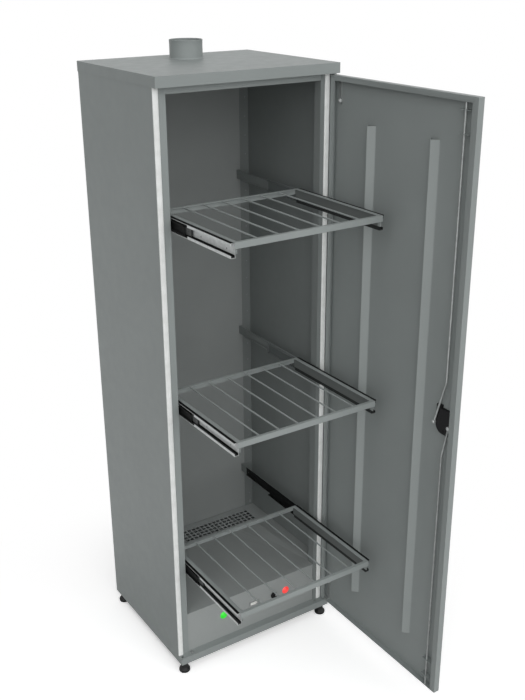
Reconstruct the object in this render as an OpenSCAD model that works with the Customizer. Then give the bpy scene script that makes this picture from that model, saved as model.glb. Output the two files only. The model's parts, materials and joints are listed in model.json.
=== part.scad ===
// Drying cabinet: a sheet steel body with a heater box in its base, three wire
// shelves on telescopic slides and a hinged door with a rod lock.
// It is drawn with the door open at a right angle and the shelves pulled out.
// Millimetres, +Z up, +X to the right along the front, +Y towards the back.
// The origin is on the floor, at the middle of the space that the open cabinet takes up.
// Places are measured from the front left bottom corner of the body.

/* [Body] */
// Width of the body, over the roof
body_w = 600; // [560:5:700]
// Depth of the body, over the roof
body_d = 500; // [490:5:600]
// Height of the body, from the underside of the base to the top of the roof
body_h = 1884; // [1860:1:2000]
// Thickness of the body's sheet steel
sheet_t = 1.2; // [1:0.1:1.5]
// Height of the levelling feet
foot_h = 40; // [30:1:55]
// Diameter of a foot's pad
foot_d = 37; // [30:1:40]
// Distance of a foot's axis from the body's sides, front and back
foot_in = 21; // [20:1:30]
// Diameter of a foot's threaded stud
stud_d = 10; // [8:1:12]

/* [Roof, base and back] */
// Height of the roof's turned down edge
skirt_h = 30; // [25:1:40]
// Height of the base
base_h = 25; // [20:1:35]
// Width of the side panels' rear flange
rear_flange_w = 36; // [30:1:40]
// Spacing of the holes along the rear flange
flange_hole_pitch = 63; // [50:1:90]
// Outer diameter of the exhaust spigot
spigot_d = 100; // [80:1:125]
// Height of the exhaust spigot above the roof
spigot_h = 55; // [40:1:80]
// Distance from the back of the body to the spigot's axis
spigot_back = 128; // [90:1:180]

/* [Front frame] */
// Width of the left front post
left_post_w = 41; // [38:1:46]
// Width of the right front post, beside the hinges
right_post_w = 51; // [46:1:56]
// Depth of the posts' folded edge
post_lip = 30; // [25:1:40]
// How far the front header reaches below the roof's edge
header_drop = 20; // [12:1:40]
// Width of the door seals
seal_w = 17; // [10:1:17]
// Thickness of the door seals
seal_t = 4; // [3:0.5:6]
// Distance of the left seal from the body's left side
left_seal_in = 2; // [2:1:6]
// Distance of the right seal from the body's right side
right_seal_in = 19.5; // [19.5:0.5:22]

/* [Door] */
// Thickness of the door
door_t = 20; // [20:0.5:24]
// Gap between the closed door and the body's sides
door_gap = 2; // [1.5:0.5:3]
// Gap above and below the door
door_play = 4.5; // [3:0.5:6]
// Width of the folded lip on the door's hinge edge
hinge_lip = 18; // [12:1:20]
// Width of the folded lip on the door's free edge
free_lip = 20; // [14:1:20]
// Width of the folded lip on the door's top edge
top_lip = 15; // [10:1:20]
// How far the ridge of a stiffening rib stands off the door's skin
rib_d = 18.5; // [10:0.5:18.5]
// Distance from the hinge edge to the middle of the first rib
rib_1_at = 171; // [140:1:200]
// Distance from the hinge edge to the middle of the second rib
rib_2_at = 432; // [380:1:450]
// Distance from the door's bottom to the ribs
rib_bottom_gap = 125; // [80:1:160]
// Distance from the door's top to the ribs
rib_top_gap = 125; // [120:1:160]

/* [Hinges] */
// Diameter of a hinge pin
pin_d = 8; // [6:0.5:8]
// Width of a hinge strap
strap_w = 12; // [10:1:14]
// Thickness of a hinge strap
strap_t = 2; // [1.5:0.5:3]
// Distance from the hinge edge to the middle of a strap
strap_at = 25; // [23:1:32]
// Distance from the end of the door to the strap's eye
strap_len = 72; // [50:1:90]
// Diameter of the strap's eye
eye_d = 22; // [16:1:24]

/* [Lock] */
// Distance from the door's free edge to the lock rods
rod_edge = 46; // [44:1:50]
// Diameter of a lock rod
lock_rod_d = 6; // [5:0.5:6.5]
// Distance from the door's free edge to the lock's spindle
lock_edge = 56; // [54:1:62]
// Sideways distance from the spindle to the rods' pins
rod_pin_off = 29.5; // [28:0.5:31]
// Height of the upper rod's bend above the spindle
upper_bend = 135; // [110:1:180]
// Depth of the lower rod's bend below the spindle
lower_bend = 95; // [70:1:140]
// Diameter of the spindle
spindle_d = 10; // [8:0.5:12]
// Length of the handle's grip
grip_len = 92; // [70:1:120]
// How far the handle stands out from the door
handle_out = 28; // [24:1:36]

/* [Shelves] */
// Height of the bottom shelf's top edge above the underside of the base
first_shelf_z = 371; // [330:1:420]
// Spacing of the shelves
shelf_pitch = 566; // [450:1:570]
// Height of a shelf's front and rear rails
shelf_rail_h = 17.5; // [15:0.5:28]
// Thickness of a shelf's sheet steel
shelf_t = 1.5; // [1:0.1:2]
// Depth of the front rail's top flange
front_flange = 10; // [8:1:24]
// Depth of the rear rail's top flange
rear_flange = 10; // [8:1:20]
// Width of the side rails' top flange
side_flange = 12; // [10:1:16]
// Number of rods in a shelf
rod_count = 6; // [4:1:9]
// Distance from a shelf's left edge to its first rod
first_rod = 77; // [50:1:90]
// Distance from a shelf's last rod to its right edge
last_rod = 73; // [50:1:90]
// Diameter of a shelf rod
shelf_rod_d = 5; // [4:0.5:7]

/* [Slides] */
// Distance from the slides' back end to the back of the body
slide_back_gap = 43; // [38:1:80]
// How much shorter the middle slide member is than the outer one
mid_shorter = 100; // [90:1:140]
// How much shorter the inner slide member is than the outer one
inner_shorter = 30; // [20:1:50]
// How much less a shelf slides than the outer member's length
travel_less = 100; // [90:1:140]
// How much longer the outer slide member is than a shelf is deep
shelf_shorter = 20; // [16:1:40]
// How far the shelf's channel starts behind the shelf's front
channel_in = 7; // [4:1:12]
// Height of the shelf's channel
slide_h = 40; // [38:1:44]
// Width of a slide, from the post to the shelf's side
slide_w = 19.1; // [18:0.1:20]
// Thickness of the slides' steel
slide_t = 1.2; // [1:0.1:1.4]
// Width of the lips that close the shelf's channel
slide_lip = 7.5; // [6:0.5:8]
// Length of the lips, from the channel's front
slide_lip_len = 224; // [200:1:260]
// Depth of the shelf's channel below the shelf's top edge
slide_under = 3.3; // [2.5:0.1:5]
// How far a shelf's folded edge reaches over its slides
flange_over = 6.4; // [4:0.1:8]

/* [Heater box] */
// Height of the heater box
heater_h = 147; // [130:1:180]
// Size of a square hole in the grille
grille_hole = 12; // [8:0.5:13]
// Spacing of the grille's holes
grille_pitch = 17.8; // [16:0.1:18]
// Number of rows in the grille
grille_rows = 4; // [2:1:4]
// Number of holes in a row
grille_cols = 28; // [20:1:28]
// Distance from the back of the body to the grille's middle row
grille_back = 69; // [65:1:90]
// Height of the controls above the underside of the base
controls_z = 111; // [100:1:120]
// Distance of the green lamp from the body's left side
green_x = 180; // [150:1:200]
// Distance of the switch from the body's left side
switch_x = 303; // [280:1:310]
// Distance of the knob from the body's left side
knob_x = 382; // [370:1:390]
// Distance of the red lamp from the body's left side
red_x = 432; // [425:1:450]
// Diameter of a lamp's lens
lamp_d = 27; // [20:1:30]
// Diameter of the knob's foot
knob_d = 24; // [20:1:28]

/* [Fan, element and wiring] */
// Side of the fan's square frame
fan_w = 120; // [110:1:140]
// Height of the fan's frame
fan_h = 38; // [36:1:50]
// Distance of the fan's axis from the body's left side
fan_x = 190; // [150:1:250]
// Distance of the fan's axis from the body's front
fan_y = 200; // [160:1:240]
// Number of fan blades
blade_count = 7; // [5:1:9]
// Diameter of the heating element's tube
element_d = 8.5; // [6:0.5:10]
// Height of the heating element above the base
element_z = 90; // [60:1:110]
// Length of the heating element
element_len = 340; // [250:1:380]
// Spacing of the heating element's two legs
element_gap = 44; // [30:1:60]
// Inner diameter of the cable gland
gland_bore = 8; // [6:0.5:10]
// How far the gland stands out behind the body
gland_out = 13; // [8:1:20]

/* [Hidden] */

$fn = 48;

// Colours, as the cabinet shows them
body_grey = "#7f8584";
inner_grey = "#5f6362";
shelf_grey = "#8d9291";
zinc = "#b5b9b8";
steel_black = "#262727";
plastic_black = "#1c1c1d";
seal_white = "#dfe1e0";
nylon_white = "#f2f2ef";
lamp_green = "#1fd62b";
lamp_red = "#ff4b44";

// Clearances
touch = 0.3;      // between pieces that lie beside each other
running = 0.1;    // on the diameter of a turning fit
over = 1;         // how far a cutting shape reaches past a face

t = sheet_t;
skin_in = 2 * t;                         // inner face of a side panel
wall_top = body_h - t;                   // underside of the roof's plate
skirt_z = body_h - skirt_h;              // lower edge of the roof
header_z = skirt_z - header_drop;        // top of the front opening
front_in = door_t + seal_t;              // front face of the posts
rear_face = body_d - 3 * t;              // front face of the rear flanges

// The door: its own x runs from the hinge edge, and y from its inner to its outer face
door_w = body_w - 2 * door_gap;
door_z0 = base_h + door_play;
door_z1 = skirt_z - door_play;
pivot_in = door_t / 2;                   // hinge axis behind the front and from the side
pivot_at = pivot_in - door_gap;          // hinge axis from the hinge edge
door_edge_y = door_t - door_gap;         // hinge edge of the open door, behind the front
door_reach = door_w - door_edge_y;       // how far the open door reaches in front
door_skin = door_t - t;                  // inner face of the door's skin

left_x = -(body_w + handle_out) / 2;
front_y = (door_reach - body_d - gland_out) / 2;

// Lock
lock_at = door_w - lock_edge;
rod_at = door_w - rod_edge;
rod_depth = 5;                           // rods behind the door's inner plane
lock_z = (door_z0 + door_z1) / 2;
keeper_x = body_w - pivot_in - (rod_at - pivot_at);
keeper_y = 2 * pivot_in - rod_depth;
keeper_d = lock_rod_d + 3;
case_t = 1.5;                            // wall of the lock housing
case_y = rod_depth + lock_rod_d / 2 + 0.5;
gear_y0 = case_y + case_t + touch;
gear_y1 = door_skin - case_t - touch;
gear_m = 1.5;                            // module of the rack and pinion
gear_teeth = 12;
gear_r = gear_m * gear_teeth / 2;
rod_stroke = gear_r * PI / 2;            // travel of a rod for a quarter turn
case_hinge_side = 26;                    // the housing's reach from the spindle
case_free_side = 41;
case_below = 29;
case_above = 57;
case_step = 9;                           // drop of the housing's top on the free side
case_step_at = 18;
case_round = 26;
rod_pin_d = 6;
rod_rest = 0.5;                          // a retracted rod's end, inside the door's edge
rack_head = 5;
rack_tail = rod_stroke + rack_head;
rod_eye_d = 13;
guide_w = 38;
guide_h = 61;
guide_gap = 35;                          // from the end of the door to a rod guide
guide_t = 1.5;

// Shelves and slides, in the pulled out position
shelf_x0 = left_post_w + slide_w - flange_over;
shelf_x1 = body_w - right_post_w - slide_w + flange_over;
outer_y = front_in + 3;
outer_back = body_d - slide_back_gap;
outer_len = outer_back - outer_y;
mid_len = outer_len - mid_shorter;
inner_len = outer_len - inner_shorter;
travel = outer_len - travel_less;
shelf_d = outer_len - shelf_shorter;
shelf_y0 = outer_y + 12 - travel;
inner_y = shelf_y0 + channel_in;
shelf_y1 = shelf_y0 + shelf_d;
mid_back_gap = 4;
mid_y = outer_back - mid_back_gap - mid_len - travel / 2;
shelf_z = [first_shelf_z, first_shelf_z + shelf_pitch, first_shelf_z + 2 * shelf_pitch];
slide_drop = slide_under + slide_h / 2;  // middle line of a slide below the shelf's top
channel_half = slide_h / 2;
channel_x0 = 5;                          // open side of the shelf's channel, from the post
open_half = channel_half - slide_lip;    // half of the gap between the lips
race_h = 2.4;                            // room for the balls
race_w = 3.2;
fixed_w = channel_x0 - 0.6;              // width of the fixed member
neck_half = open_half - 0.6;             // narrow side of the middle member
neck_x0 = slide_t + 0.5;
neck_x1 = channel_x0 + slide_t + 1.4;
fixed_half = neck_half + race_h + slide_t;
wide_half = channel_half - slide_t - race_h;
wide_x1 = slide_w - slide_t - 1.5;       // wide side of the middle member
wide_race_x0 = neck_x1 + slide_t + 1;
slide_hole_d = 5;
slide_hole_off = 3;                      // holes below the middle line

// Heater box
heater_top = base_h + heater_h;
cover_y = front_in + t + 1;
cover_x0 = left_post_w + touch;
cover_x1 = body_w - right_post_w - touch;
lip_back = front_in + post_lip + touch;
cover_back = rear_face - t - touch;
lamp_body_d = 21.6;
lamp_hole_d = 22;
knob_stem_d = 6;
switch_w = 40;
switch_h = 15;
rocker_w = 34;
rocker_h = 10;
rocker_tilt = 7;
rocker_pin_d = 3;
fan_bore = fan_w - 6;
fan_hub_d = 44;
shaft_d = 4;
gland_x = body_w - 60;
gland_z = 70;
gland_thread_d = gland_bore + 8;
gland_nut_d = gland_bore + 14;
bracket_h = 30;

// ---------- helpers ----------

// A box between two corners
module slab(low, high) translate(low) cube(high - low);

// A round bar along Y, from y0 to y1
module bar_y(d, x, z, y0, y1) translate([x, y0, z]) rotate([-90, 0, 0]) cylinder(d = d, h = y1 - y0);

// A flat shape drawn in x and z, given thickness from y0 to y1
module plate_xz(y0, y1) translate([0, y1, 0]) rotate([90, 0, 0]) linear_extrude(y1 - y0) children();

// Places measured from the body's front left bottom corner
module in_body(z = 0) translate([left_x, front_y, foot_h + z]) children();

// Places measured inwards from the body's left or right side
module from_left(z = 0) in_body(z) children();
module from_right(z = 0) translate([left_x + body_w, front_y, foot_h + z]) mirror([1, 0, 0]) children();

// The door's own frame, turned to where the open door stands
module on_door() {
    translate([left_x + body_w - door_t, front_y + door_edge_y, foot_h]) rotate([0, 0, -90]) children();
}

// ---------- body ----------

module side_panel(post_w) {
    color(body_grey) difference() {
        union() {
            slab([t, front_in, 0], [skin_in, body_d - t, wall_top]);
            slab([t, front_in, base_h], [post_w, front_in + t, wall_top]);
            slab([post_w - t, front_in, base_h], [post_w, front_in + post_lip, wall_top]);
            slab([t, rear_face, base_h], [rear_flange_w, rear_face + t, wall_top]);
        }
        for (z = [heater_top + 50 : flange_hole_pitch : wall_top - 40])
            bar_y(5, 15, z, rear_face - over, rear_face + t + over);
        slab([10, rear_face - over, heater_top + 6], [16, rear_face + t + over, heater_top + 20]);
    }
}

module back_panel() {
    color(inner_grey) in_body() difference() {
        slab([skin_in, body_d - 2 * t, 0], [body_w - skin_in, body_d - t, wall_top]);
        bar_y(gland_thread_d + touch, gland_x, gland_z, body_d - 2 * t - over, body_d);
    }
}

// The holes for hinge pins and lock rods, the same on both sides
module door_holes(z0, z1) {
    for (x = [pivot_in, body_w - pivot_in])
        translate([x, pivot_in, z0]) cylinder(d = pin_d + running, h = z1 - z0);
    for (x = [keeper_x, body_w - keeper_x])
        translate([x, keeper_y, z0]) cylinder(d = keeper_d, h = z1 - z0);
}

module roof_cap() {
    color(body_grey) in_body() difference() {
        union() {
            slab([0, 0, wall_top], [body_w, body_d, body_h]);
            slab([0, 0, skirt_z], [body_w, t, body_h]);
            slab([0, body_d - t, skirt_z], [body_w, body_d, body_h]);
            slab([0, 0, skirt_z], [t, body_d, body_h]);
            slab([body_w - t, 0, skirt_z], [body_w, body_d, body_h]);
            slab([0, 0, skirt_z], [body_w, front_in, skirt_z + t]);
        }
        door_holes(skirt_z - over, skirt_z + t + over);
        translate([body_w / 2, body_d - spigot_back, wall_top - over])
            cylinder(d = spigot_d + touch, h = t + 2 * over, $fn = 96);
    }
}

module front_header() {
    color(body_grey) in_body() {
        slab([left_post_w, front_in, header_z], [body_w - right_post_w, front_in + t, wall_top]);
        slab([left_post_w, front_in, header_z], [body_w - right_post_w, front_in + post_lip, header_z + t]);
    }
}

module exhaust_spigot() {
    collar_w = 4;
    collar_h = 2;
    below = 6;
    color(body_grey) in_body(body_h) translate([body_w / 2, body_d - spigot_back, 0])
        difference() {
            union() {
                translate([0, 0, -t - below]) cylinder(d = spigot_d, h = spigot_h + t + below, $fn = 96);
                cylinder(d = spigot_d + 2 * collar_w, h = collar_h, $fn = 96);
            }
            translate([0, 0, -t - below - over])
                cylinder(d = spigot_d - 2 * t, h = spigot_h + t + below + 2 * over, $fn = 96);
        }
}

module base_tray() {
    plate = 50;
    plate_t = 3;
    color(body_grey) in_body() difference() {
        union() {
            slab([skin_in, 0, base_h - t], [body_w - skin_in, body_d - 2 * t, base_h]);
            slab([t, 0, base_h - t], [body_w - t, front_in, base_h]);
            slab([t, 0, 0], [body_w - t, t, base_h]);
            slab([skin_in, body_d - 3 * t, 0], [body_w - skin_in, body_d - 2 * t, base_h]);
            for (x = [t, body_w - skin_in])
                slab([x, 0, 0], [x + t, front_in, base_h]);
            for (x = [skin_in, body_w - skin_in - t])
                slab([x, 0, 0], [x + t, body_d - 2 * t, base_h]);
            for (x = [skin_in, body_w - skin_in - plate], y = [0, body_d - 2 * t - plate])
                slab([x, y, 0], [x + plate, y + plate, plate_t]);
        }
        door_holes(base_h - t - over, base_h + over);
        for (x = [foot_in, body_w - foot_in], y = [foot_in, body_d - foot_in])
            translate([x, y, -over]) cylinder(d = stud_d + running, h = plate_t + 2 * over);
        translate([fan_x, fan_y, base_h - t - over]) cylinder(d = fan_bore, h = t + 2 * over);
    }
}

// A levelling foot: moulded pad, cone and collar on a threaded stud
module foot(x, y) {
    pad_r = foot_d / 2;
    collar_r = stud_d / 2 + 6;
    color(plastic_black) translate([left_x + x, front_y + y, 0]) {
        rotate_extrude() polygon([[0, 0], [pad_r - 2, 0], [pad_r, 2], [pad_r, 9], [pad_r - 3, 13],
            [collar_r, 22], [collar_r, foot_h], [0, foot_h]]);
        cylinder(d = stud_d, h = foot_h + base_h - t - 8);
    }
}

module door_seal(inset) {
    color(seal_white) slab([inset, door_t, base_h], [inset + seal_w, front_in, skirt_z]);
}

// ---------- heater box ----------

module grille_holes() {
    first_x = body_w / 2 - (grille_cols - 1) * grille_pitch / 2;
    first_y = body_d - grille_back - (grille_rows - 1) * grille_pitch / 2;
    for (i = [0 : grille_cols - 1], j = [0 : grille_rows - 1])
        translate([first_x + i * grille_pitch, first_y + j * grille_pitch, heater_top - t / 2])
            cube([grille_hole, grille_hole, t + 2 * over], center = true);
}

module heater_cover() {
    color(inner_grey) in_body() difference() {
        union() {
            slab([cover_x0, cover_y, base_h], [cover_x1, cover_y + t, heater_top]);
            slab([cover_x0, cover_y, heater_top - t], [cover_x1, lip_back + over, heater_top]);
            slab([skin_in + touch, lip_back, heater_top - t],
                [body_w - skin_in - touch, cover_back, heater_top]);
            for (x = [skin_in + touch, body_w - skin_in - t - touch])
                slab([x, lip_back, base_h], [x + t, cover_back, heater_top]);
        }
        grille_holes();
        for (x = [green_x, red_x])
            bar_y(lamp_hole_d, x, controls_z, cover_y - over, cover_y + t + over);
        bar_y(knob_stem_d + 1, knob_x, controls_z, cover_y - over, cover_y + t + over);
        translate([switch_x, cover_y + t / 2, controls_z])
            cube([rocker_w + 3, t + 2 * over, rocker_h + 3], center = true);
    }
}

// A signal lamp: domed lens in front of the panel, body and nut behind it
module lamp(x, hue) {
    lens_t = 4;
    color(hue) in_body() {
        bar_y(lamp_d, x, controls_z, cover_y - lens_t, cover_y);
        bar_y(lamp_body_d, x, controls_z, cover_y - lens_t / 2, cover_y + t + 24);
        bar_y(lamp_d, x, controls_z, cover_y + t, cover_y + t + 5);
    }
}

module thermostat() {
    size = 36;
    deep = 28;
    color(plastic_black) in_body() difference() {
        slab([knob_x - size / 2, cover_y + t, controls_z - size / 2],
            [knob_x + size / 2, cover_y + t + deep, controls_z + size / 2]);
        bar_y(knob_stem_d + running, knob_x, controls_z, cover_y, cover_y + t + 12);
    }
}

// Pointer knob with its stem, drawn with the pointer up
module control_knob() {
    foot_t = 6;
    grip_t = 15;
    grip_w = 9;
    tip = knob_d / 2 + 6;
    front = cover_y - touch;
    color(plastic_black) in_body(controls_z) {
        bar_y(knob_d, knob_x, 0, front - foot_t, front);
        translate([knob_x, 0, 0]) plate_xz(front - grip_t, front - foot_t)
            polygon([[-grip_w / 2, 2 - knob_d / 2], [grip_w / 2, 2 - knob_d / 2],
                [grip_w / 2, knob_d / 2 - 2],
                [0, tip], [-grip_w / 2, knob_d / 2 - 2]]);
        translate([knob_x, 0, 0]) plate_xz(front - foot_t, front)
            polygon([[-grip_w / 2, 0], [grip_w / 2, 0], [grip_w / 2, knob_d / 2 - 2],
                [0, tip], [-grip_w / 2, knob_d / 2 - 2]]);
        bar_y(knob_stem_d, knob_x, 0, front - foot_t / 2, cover_y + t + 11);
    }
}

module switch_frame() {
    color(nylon_white) in_body(controls_z) translate([switch_x, 0, 0]) difference() {
        union() {
            slab([-switch_w / 2, cover_y - 2, -switch_h / 2], [switch_w / 2, cover_y, switch_h / 2]);
            slab([-rocker_w / 2 - 1.4, cover_y - 2, -rocker_h / 2 - 1.4],
                [rocker_w / 2 + 1.4, cover_y + 16, rocker_h / 2 + 1.4]);
        }
        slab([-rocker_w / 2 - 0.5, cover_y - 3, -rocker_h / 2 - touch],
            [rocker_w / 2 + 0.5, cover_y + 14, rocker_h / 2 + touch]);
        translate([0, cover_y + 4, -rocker_h]) cylinder(d = rocker_pin_d + running, h = 2 * rocker_h);
    }
}

// The rocker turns about an upright pin, drawn pressed at its left end
module switch_rocker() {
    pin_reach = rocker_h / 2 + 1.2;
    color(nylon_white) in_body(controls_z) translate([switch_x, cover_y + 4, 0])
    rotate([0, 0, rocker_tilt]) {
        translate([0, 0, -rocker_h / 2]) linear_extrude(rocker_h)
            polygon([[-rocker_w / 2, -4], [0, -8], [rocker_w / 2, -4], [rocker_w / 2, 0], [4, 6], [-4, 6],
                [-rocker_w / 2, 0]]);
        translate([0, 0, -pin_reach]) cylinder(d = rocker_pin_d, h = 2 * pin_reach);
    }
}

module fan_housing() {
    spider_t = 4;
    color(plastic_black) in_body(base_h) translate([fan_x, fan_y, 0]) difference() {
        union() {
            difference() {
                slab([-fan_w / 2, -fan_w / 2, 0], [fan_w / 2, fan_w / 2, fan_h]);
                translate([0, 0, -over]) cylinder(d = fan_bore, h = fan_h + 2 * over);
            }
            cylinder(d = fan_hub_d - 4, h = spider_t);
            for (a = [0 : 120 : 240])
                rotate(a) slab([0, -3, 0], [fan_bore / 2 + 2, 3, spider_t]);
        }
        for (x = [-1, 1], y = [-1, 1])
            translate([x * (fan_w / 2 - 7), y * (fan_w / 2 - 7), -over])
                cylinder(d = 4.3, h = fan_h + 2 * over);
    }
}

module fan_motor() {
    color(zinc) in_body(base_h + 4) translate([fan_x, fan_y, 0]) {
        cylinder(d = fan_hub_d - 8, h = 20);
        cylinder(d = shaft_d, h = fan_h - 8);
    }
}

module fan_impeller() {
    blade_w = 24;
    low = 5;
    high = fan_h - 3;
    color(plastic_black) in_body(base_h) translate([fan_x, fan_y, 0]) difference() {
        union() {
            translate([0, 0, low]) cylinder(d = fan_hub_d, h = high - low);
            for (i = [0 : blade_count - 1])
                rotate(i * 360 / blade_count) intersection() {
                    translate([0, 0, (low + high) / 2]) rotate([38, 0, 0])
                        slab([fan_hub_d / 2 - 3, -0.9, -blade_w / 2], [fan_bore / 2, 0.9, blade_w / 2]);
                    translate([0, 0, low]) cylinder(r = fan_bore / 2 - 2, h = high - low);
                }
        }
        translate([0, 0, low - over]) cylinder(d = fan_hub_d - 6, h = 21);
        translate([0, 0, low]) cylinder(d = shaft_d + running, h = fan_h);
    }
}

// A U-shaped tube heater under the grille
module heating_element() {
    y = body_d - grille_back;
    x0 = body_w / 2 - element_len / 2;
    bend_r = element_gap / 2;
    color(zinc) in_body(base_h + element_z) translate([x0, y, 0]) {
        for (s = [-1, 1])
            translate([0, s * bend_r, 0]) rotate([0, 90, 0])
                cylinder(d = element_d, h = element_len - bend_r);
        translate([element_len - bend_r, 0, 0]) rotate([0, 0, -90])
            rotate_extrude(angle = 180) translate([bend_r, 0]) circle(d = element_d);
    }
}

// Two upright sheet brackets that carry the heating element
module element_bracket() {
    y = body_d - grille_back;
    half = element_gap / 2 + element_d + 4;
    x0 = body_w / 2 - element_len / 2;
    color(zinc) in_body(base_h) for (x = [x0 + 12, x0 + element_len - element_gap / 2 - 40])
        difference() {
            union() {
                slab([x, y - half, 0], [x + 1.5, y + half, element_z + element_d + 3]);
                slab([x, y - half, 0], [x + 22, y + half, 1.5]);
            }
            for (s = [-1, 1])
                translate([x - over, y + s * element_gap / 2, element_z]) rotate([0, 90, 0])
                    cylinder(d = element_d + running, h = 1.5 + 2 * over);
        }
}

module terminal_block() {
    size = [62, 22, 20];
    color(nylon_white) in_body(base_h) translate([gland_x - size[0] + 10, body_d - 70, 0]) difference() {
        cube(size);
        for (i = [0 : 4])
            translate([7 + i * 12, size[1] / 2, size[2] - 6]) cylinder(d = 5, h = 6 + over);
    }
}

module cable_gland() {
    back = body_d - t;
    color(plastic_black) in_body(gland_z) difference() {
        union() {
            bar_y(gland_nut_d, gland_x, 0, back, body_d + gland_out);
            bar_y(gland_thread_d, gland_x, 0, back - t - 12, back + over);
            bar_y(gland_nut_d, gland_x, 0, back - t - 5, back - t);
        }
        bar_y(gland_bore, gland_x, 0, back - t - 12 - over, body_d + gland_out + over);
    }
}

// ---------- slides and shelves ----------

// Fixed member, screwed to the post's folded edge and to a rear bracket
module outer_slide(post_w) {
    color(steel_black) translate([post_w, 0, -slide_drop]) difference() {
        union() {
            slab([0, outer_y, -fixed_half], [slide_t, outer_back, fixed_half]);
            for (s = [0, 1]) mirror([0, 0, s])
                slab([0, outer_y, fixed_half - slide_t], [fixed_w, outer_back, fixed_half]);
        }
        for (y = [outer_y + 14, outer_back - 14])
            translate([-over, y, 0]) rotate([0, 90, 0]) cylinder(d = slide_hole_d, h = slide_t + 2 * over);
    }
}

// Middle member: its narrow side rolls in the fixed member and its wide side in the shelf's channel
module mid_slide(post_w) {
    y1 = mid_y + mid_len;
    color(steel_black) translate([post_w, 0, -slide_drop]) {
        slab([neck_x1, mid_y, -wide_half], [neck_x1 + slide_t, y1, wide_half]);
        for (s = [0, 1]) mirror([0, 0, s]) {
            slab([neck_x0, mid_y, neck_half - slide_t], [neck_x1 + slide_t, y1, neck_half]);
            slab([neck_x1, mid_y, wide_half - slide_t], [wide_x1, y1, wide_half]);
            slab([neck_x0, mid_y, neck_half - slide_t], [fixed_w - 0.2, y1, neck_half + race_h - touch]);
            slab([wide_race_x0, mid_y, wide_half - slide_t],
                [wide_race_x0 + race_w, y1, wide_half + race_h - touch]);
        }
    }
}

// The shelf's member: a channel with lips on its front part
module inner_slide(post_w) {
    y1 = inner_y + inner_len;
    color(zinc) translate([post_w, 0, -slide_drop]) difference() {
        union() {
            slab([slide_w - slide_t, inner_y, -channel_half], [slide_w, y1, channel_half]);
            for (s = [0, 1]) mirror([0, 0, s]) {
                slab([channel_x0, inner_y, channel_half - slide_t], [slide_w, y1, channel_half]);
                slab([channel_x0, inner_y, open_half],
                    [channel_x0 + slide_t, inner_y + slide_lip_len, channel_half]);
            }
        }
        for (y = [inner_y + 0.1 * inner_len, inner_y + 0.43 * inner_len, y1 - 0.1 * inner_len])
            translate([wide_x1, y, -slide_hole_off]) rotate([0, 90, 0])
                cylinder(d = slide_hole_d, h = slide_w);
    }
}

// Angle bracket from the rear flange to the back end of an outer member
module slide_bracket(post_w) {
    color(zinc) translate([0, 0, -slide_drop - bracket_h / 2]) {
        slab([post_w - t, outer_back - 30, 0], [post_w, rear_face, bracket_h]);
        slab([8, rear_face - t, 0], [post_w, rear_face, bracket_h]);
    }
}

// The two middle members of one shelf move as one
module mid_pair(z) {
    from_left(z) mid_slide(left_post_w);
    from_right(z) mid_slide(right_post_w);
}

module left_brackets() {
    for (z = shelf_z) from_left(z) slide_bracket(left_post_w);
}

module right_brackets() {
    for (z = shelf_z) from_right(z) slide_bracket(right_post_w);
}

module shelf() {
    low = -slide_drop - 8;
    step = (shelf_x1 - last_rod - shelf_x0 - first_rod) / (rod_count - 1);
    color(shelf_grey) in_body() {
        slab([shelf_x0, shelf_y0, -shelf_rail_h], [shelf_x1, shelf_y0 + shelf_t, 0]);
        slab([shelf_x0, shelf_y0, -shelf_t], [shelf_x1, shelf_y0 + front_flange, 0]);
        slab([shelf_x0 + flange_over, shelf_y1 - shelf_t, -shelf_rail_h],
            [shelf_x1 - flange_over, shelf_y1, 0]);
        slab([shelf_x0, shelf_y1 - rear_flange, -shelf_t], [shelf_x1, shelf_y1, 0]);
        for (x = [shelf_x0 + flange_over, shelf_x1 - flange_over - shelf_t])
            slab([x, shelf_y0, low], [x + shelf_t, shelf_y1, 0]);
        slab([shelf_x0, shelf_y0, -shelf_t], [shelf_x0 + side_flange, shelf_y1, 0]);
        slab([shelf_x1 - side_flange, shelf_y0, -shelf_t], [shelf_x1, shelf_y1, 0]);
        for (i = [0 : rod_count - 1])
            bar_y(shelf_rod_d, shelf_x0 + first_rod + i * step, 0.5 - shelf_t - shelf_rod_d / 2,
                shelf_y0 + shelf_t / 2, shelf_y1 - shelf_t / 2);
    }
}

// ---------- door ----------

module door_panel() {
    color(body_grey) on_door() difference() {
        union() {
            slab([0, door_skin, door_z0], [door_w, door_t, door_z1]);
            slab([0, 0, door_z0], [t, door_t, door_z1]);
            slab([door_w - t, 0, door_z0], [door_w, door_t, door_z1]);
            slab([0, 0, door_z0], [door_w, door_t, door_z0 + t]);
            slab([0, 0, door_z1 - t], [door_w, door_t, door_z1]);
            slab([0, 0, door_z0], [hinge_lip, t, door_z1]);
            slab([door_w - free_lip, 0, door_z0], [door_w, t, door_z1]);
            slab([0, 0, door_z1 - top_lip], [door_w, t, door_z1]);
        }
        for (z = [door_z0 + t / 2, door_z1 - t / 2]) {
            translate([pivot_at, pivot_in, z]) cylinder(d = pin_d + running, h = 2 * t, center = true);
            translate([rod_at, rod_depth, z]) cylinder(d = lock_rod_d + 0.8, h = 2 * t, center = true);
        }
        for (z = [door_z0 + strap_len, door_z1 - strap_len])
            bar_y(5 + running, strap_at, z, door_skin - over, door_t + over);
        bar_y(spindle_d + 1, lock_at, lock_z, door_skin - over, door_t + over);
    }
}

// Angle welded by both its edges to the inside of the door's skin
module rib(at) {
    z0 = door_z0 + rib_bottom_gap;
    d = rib_d;
    side = t * sqrt(2);
    color(shelf_grey) on_door() translate([at, door_skin, z0])
        linear_extrude(door_z1 - rib_top_gap - z0)
            polygon([[-d, 0], [0, -d], [d, 0], [d - side, 0], [0, side - d], [side - d, 0]]);
}

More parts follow.
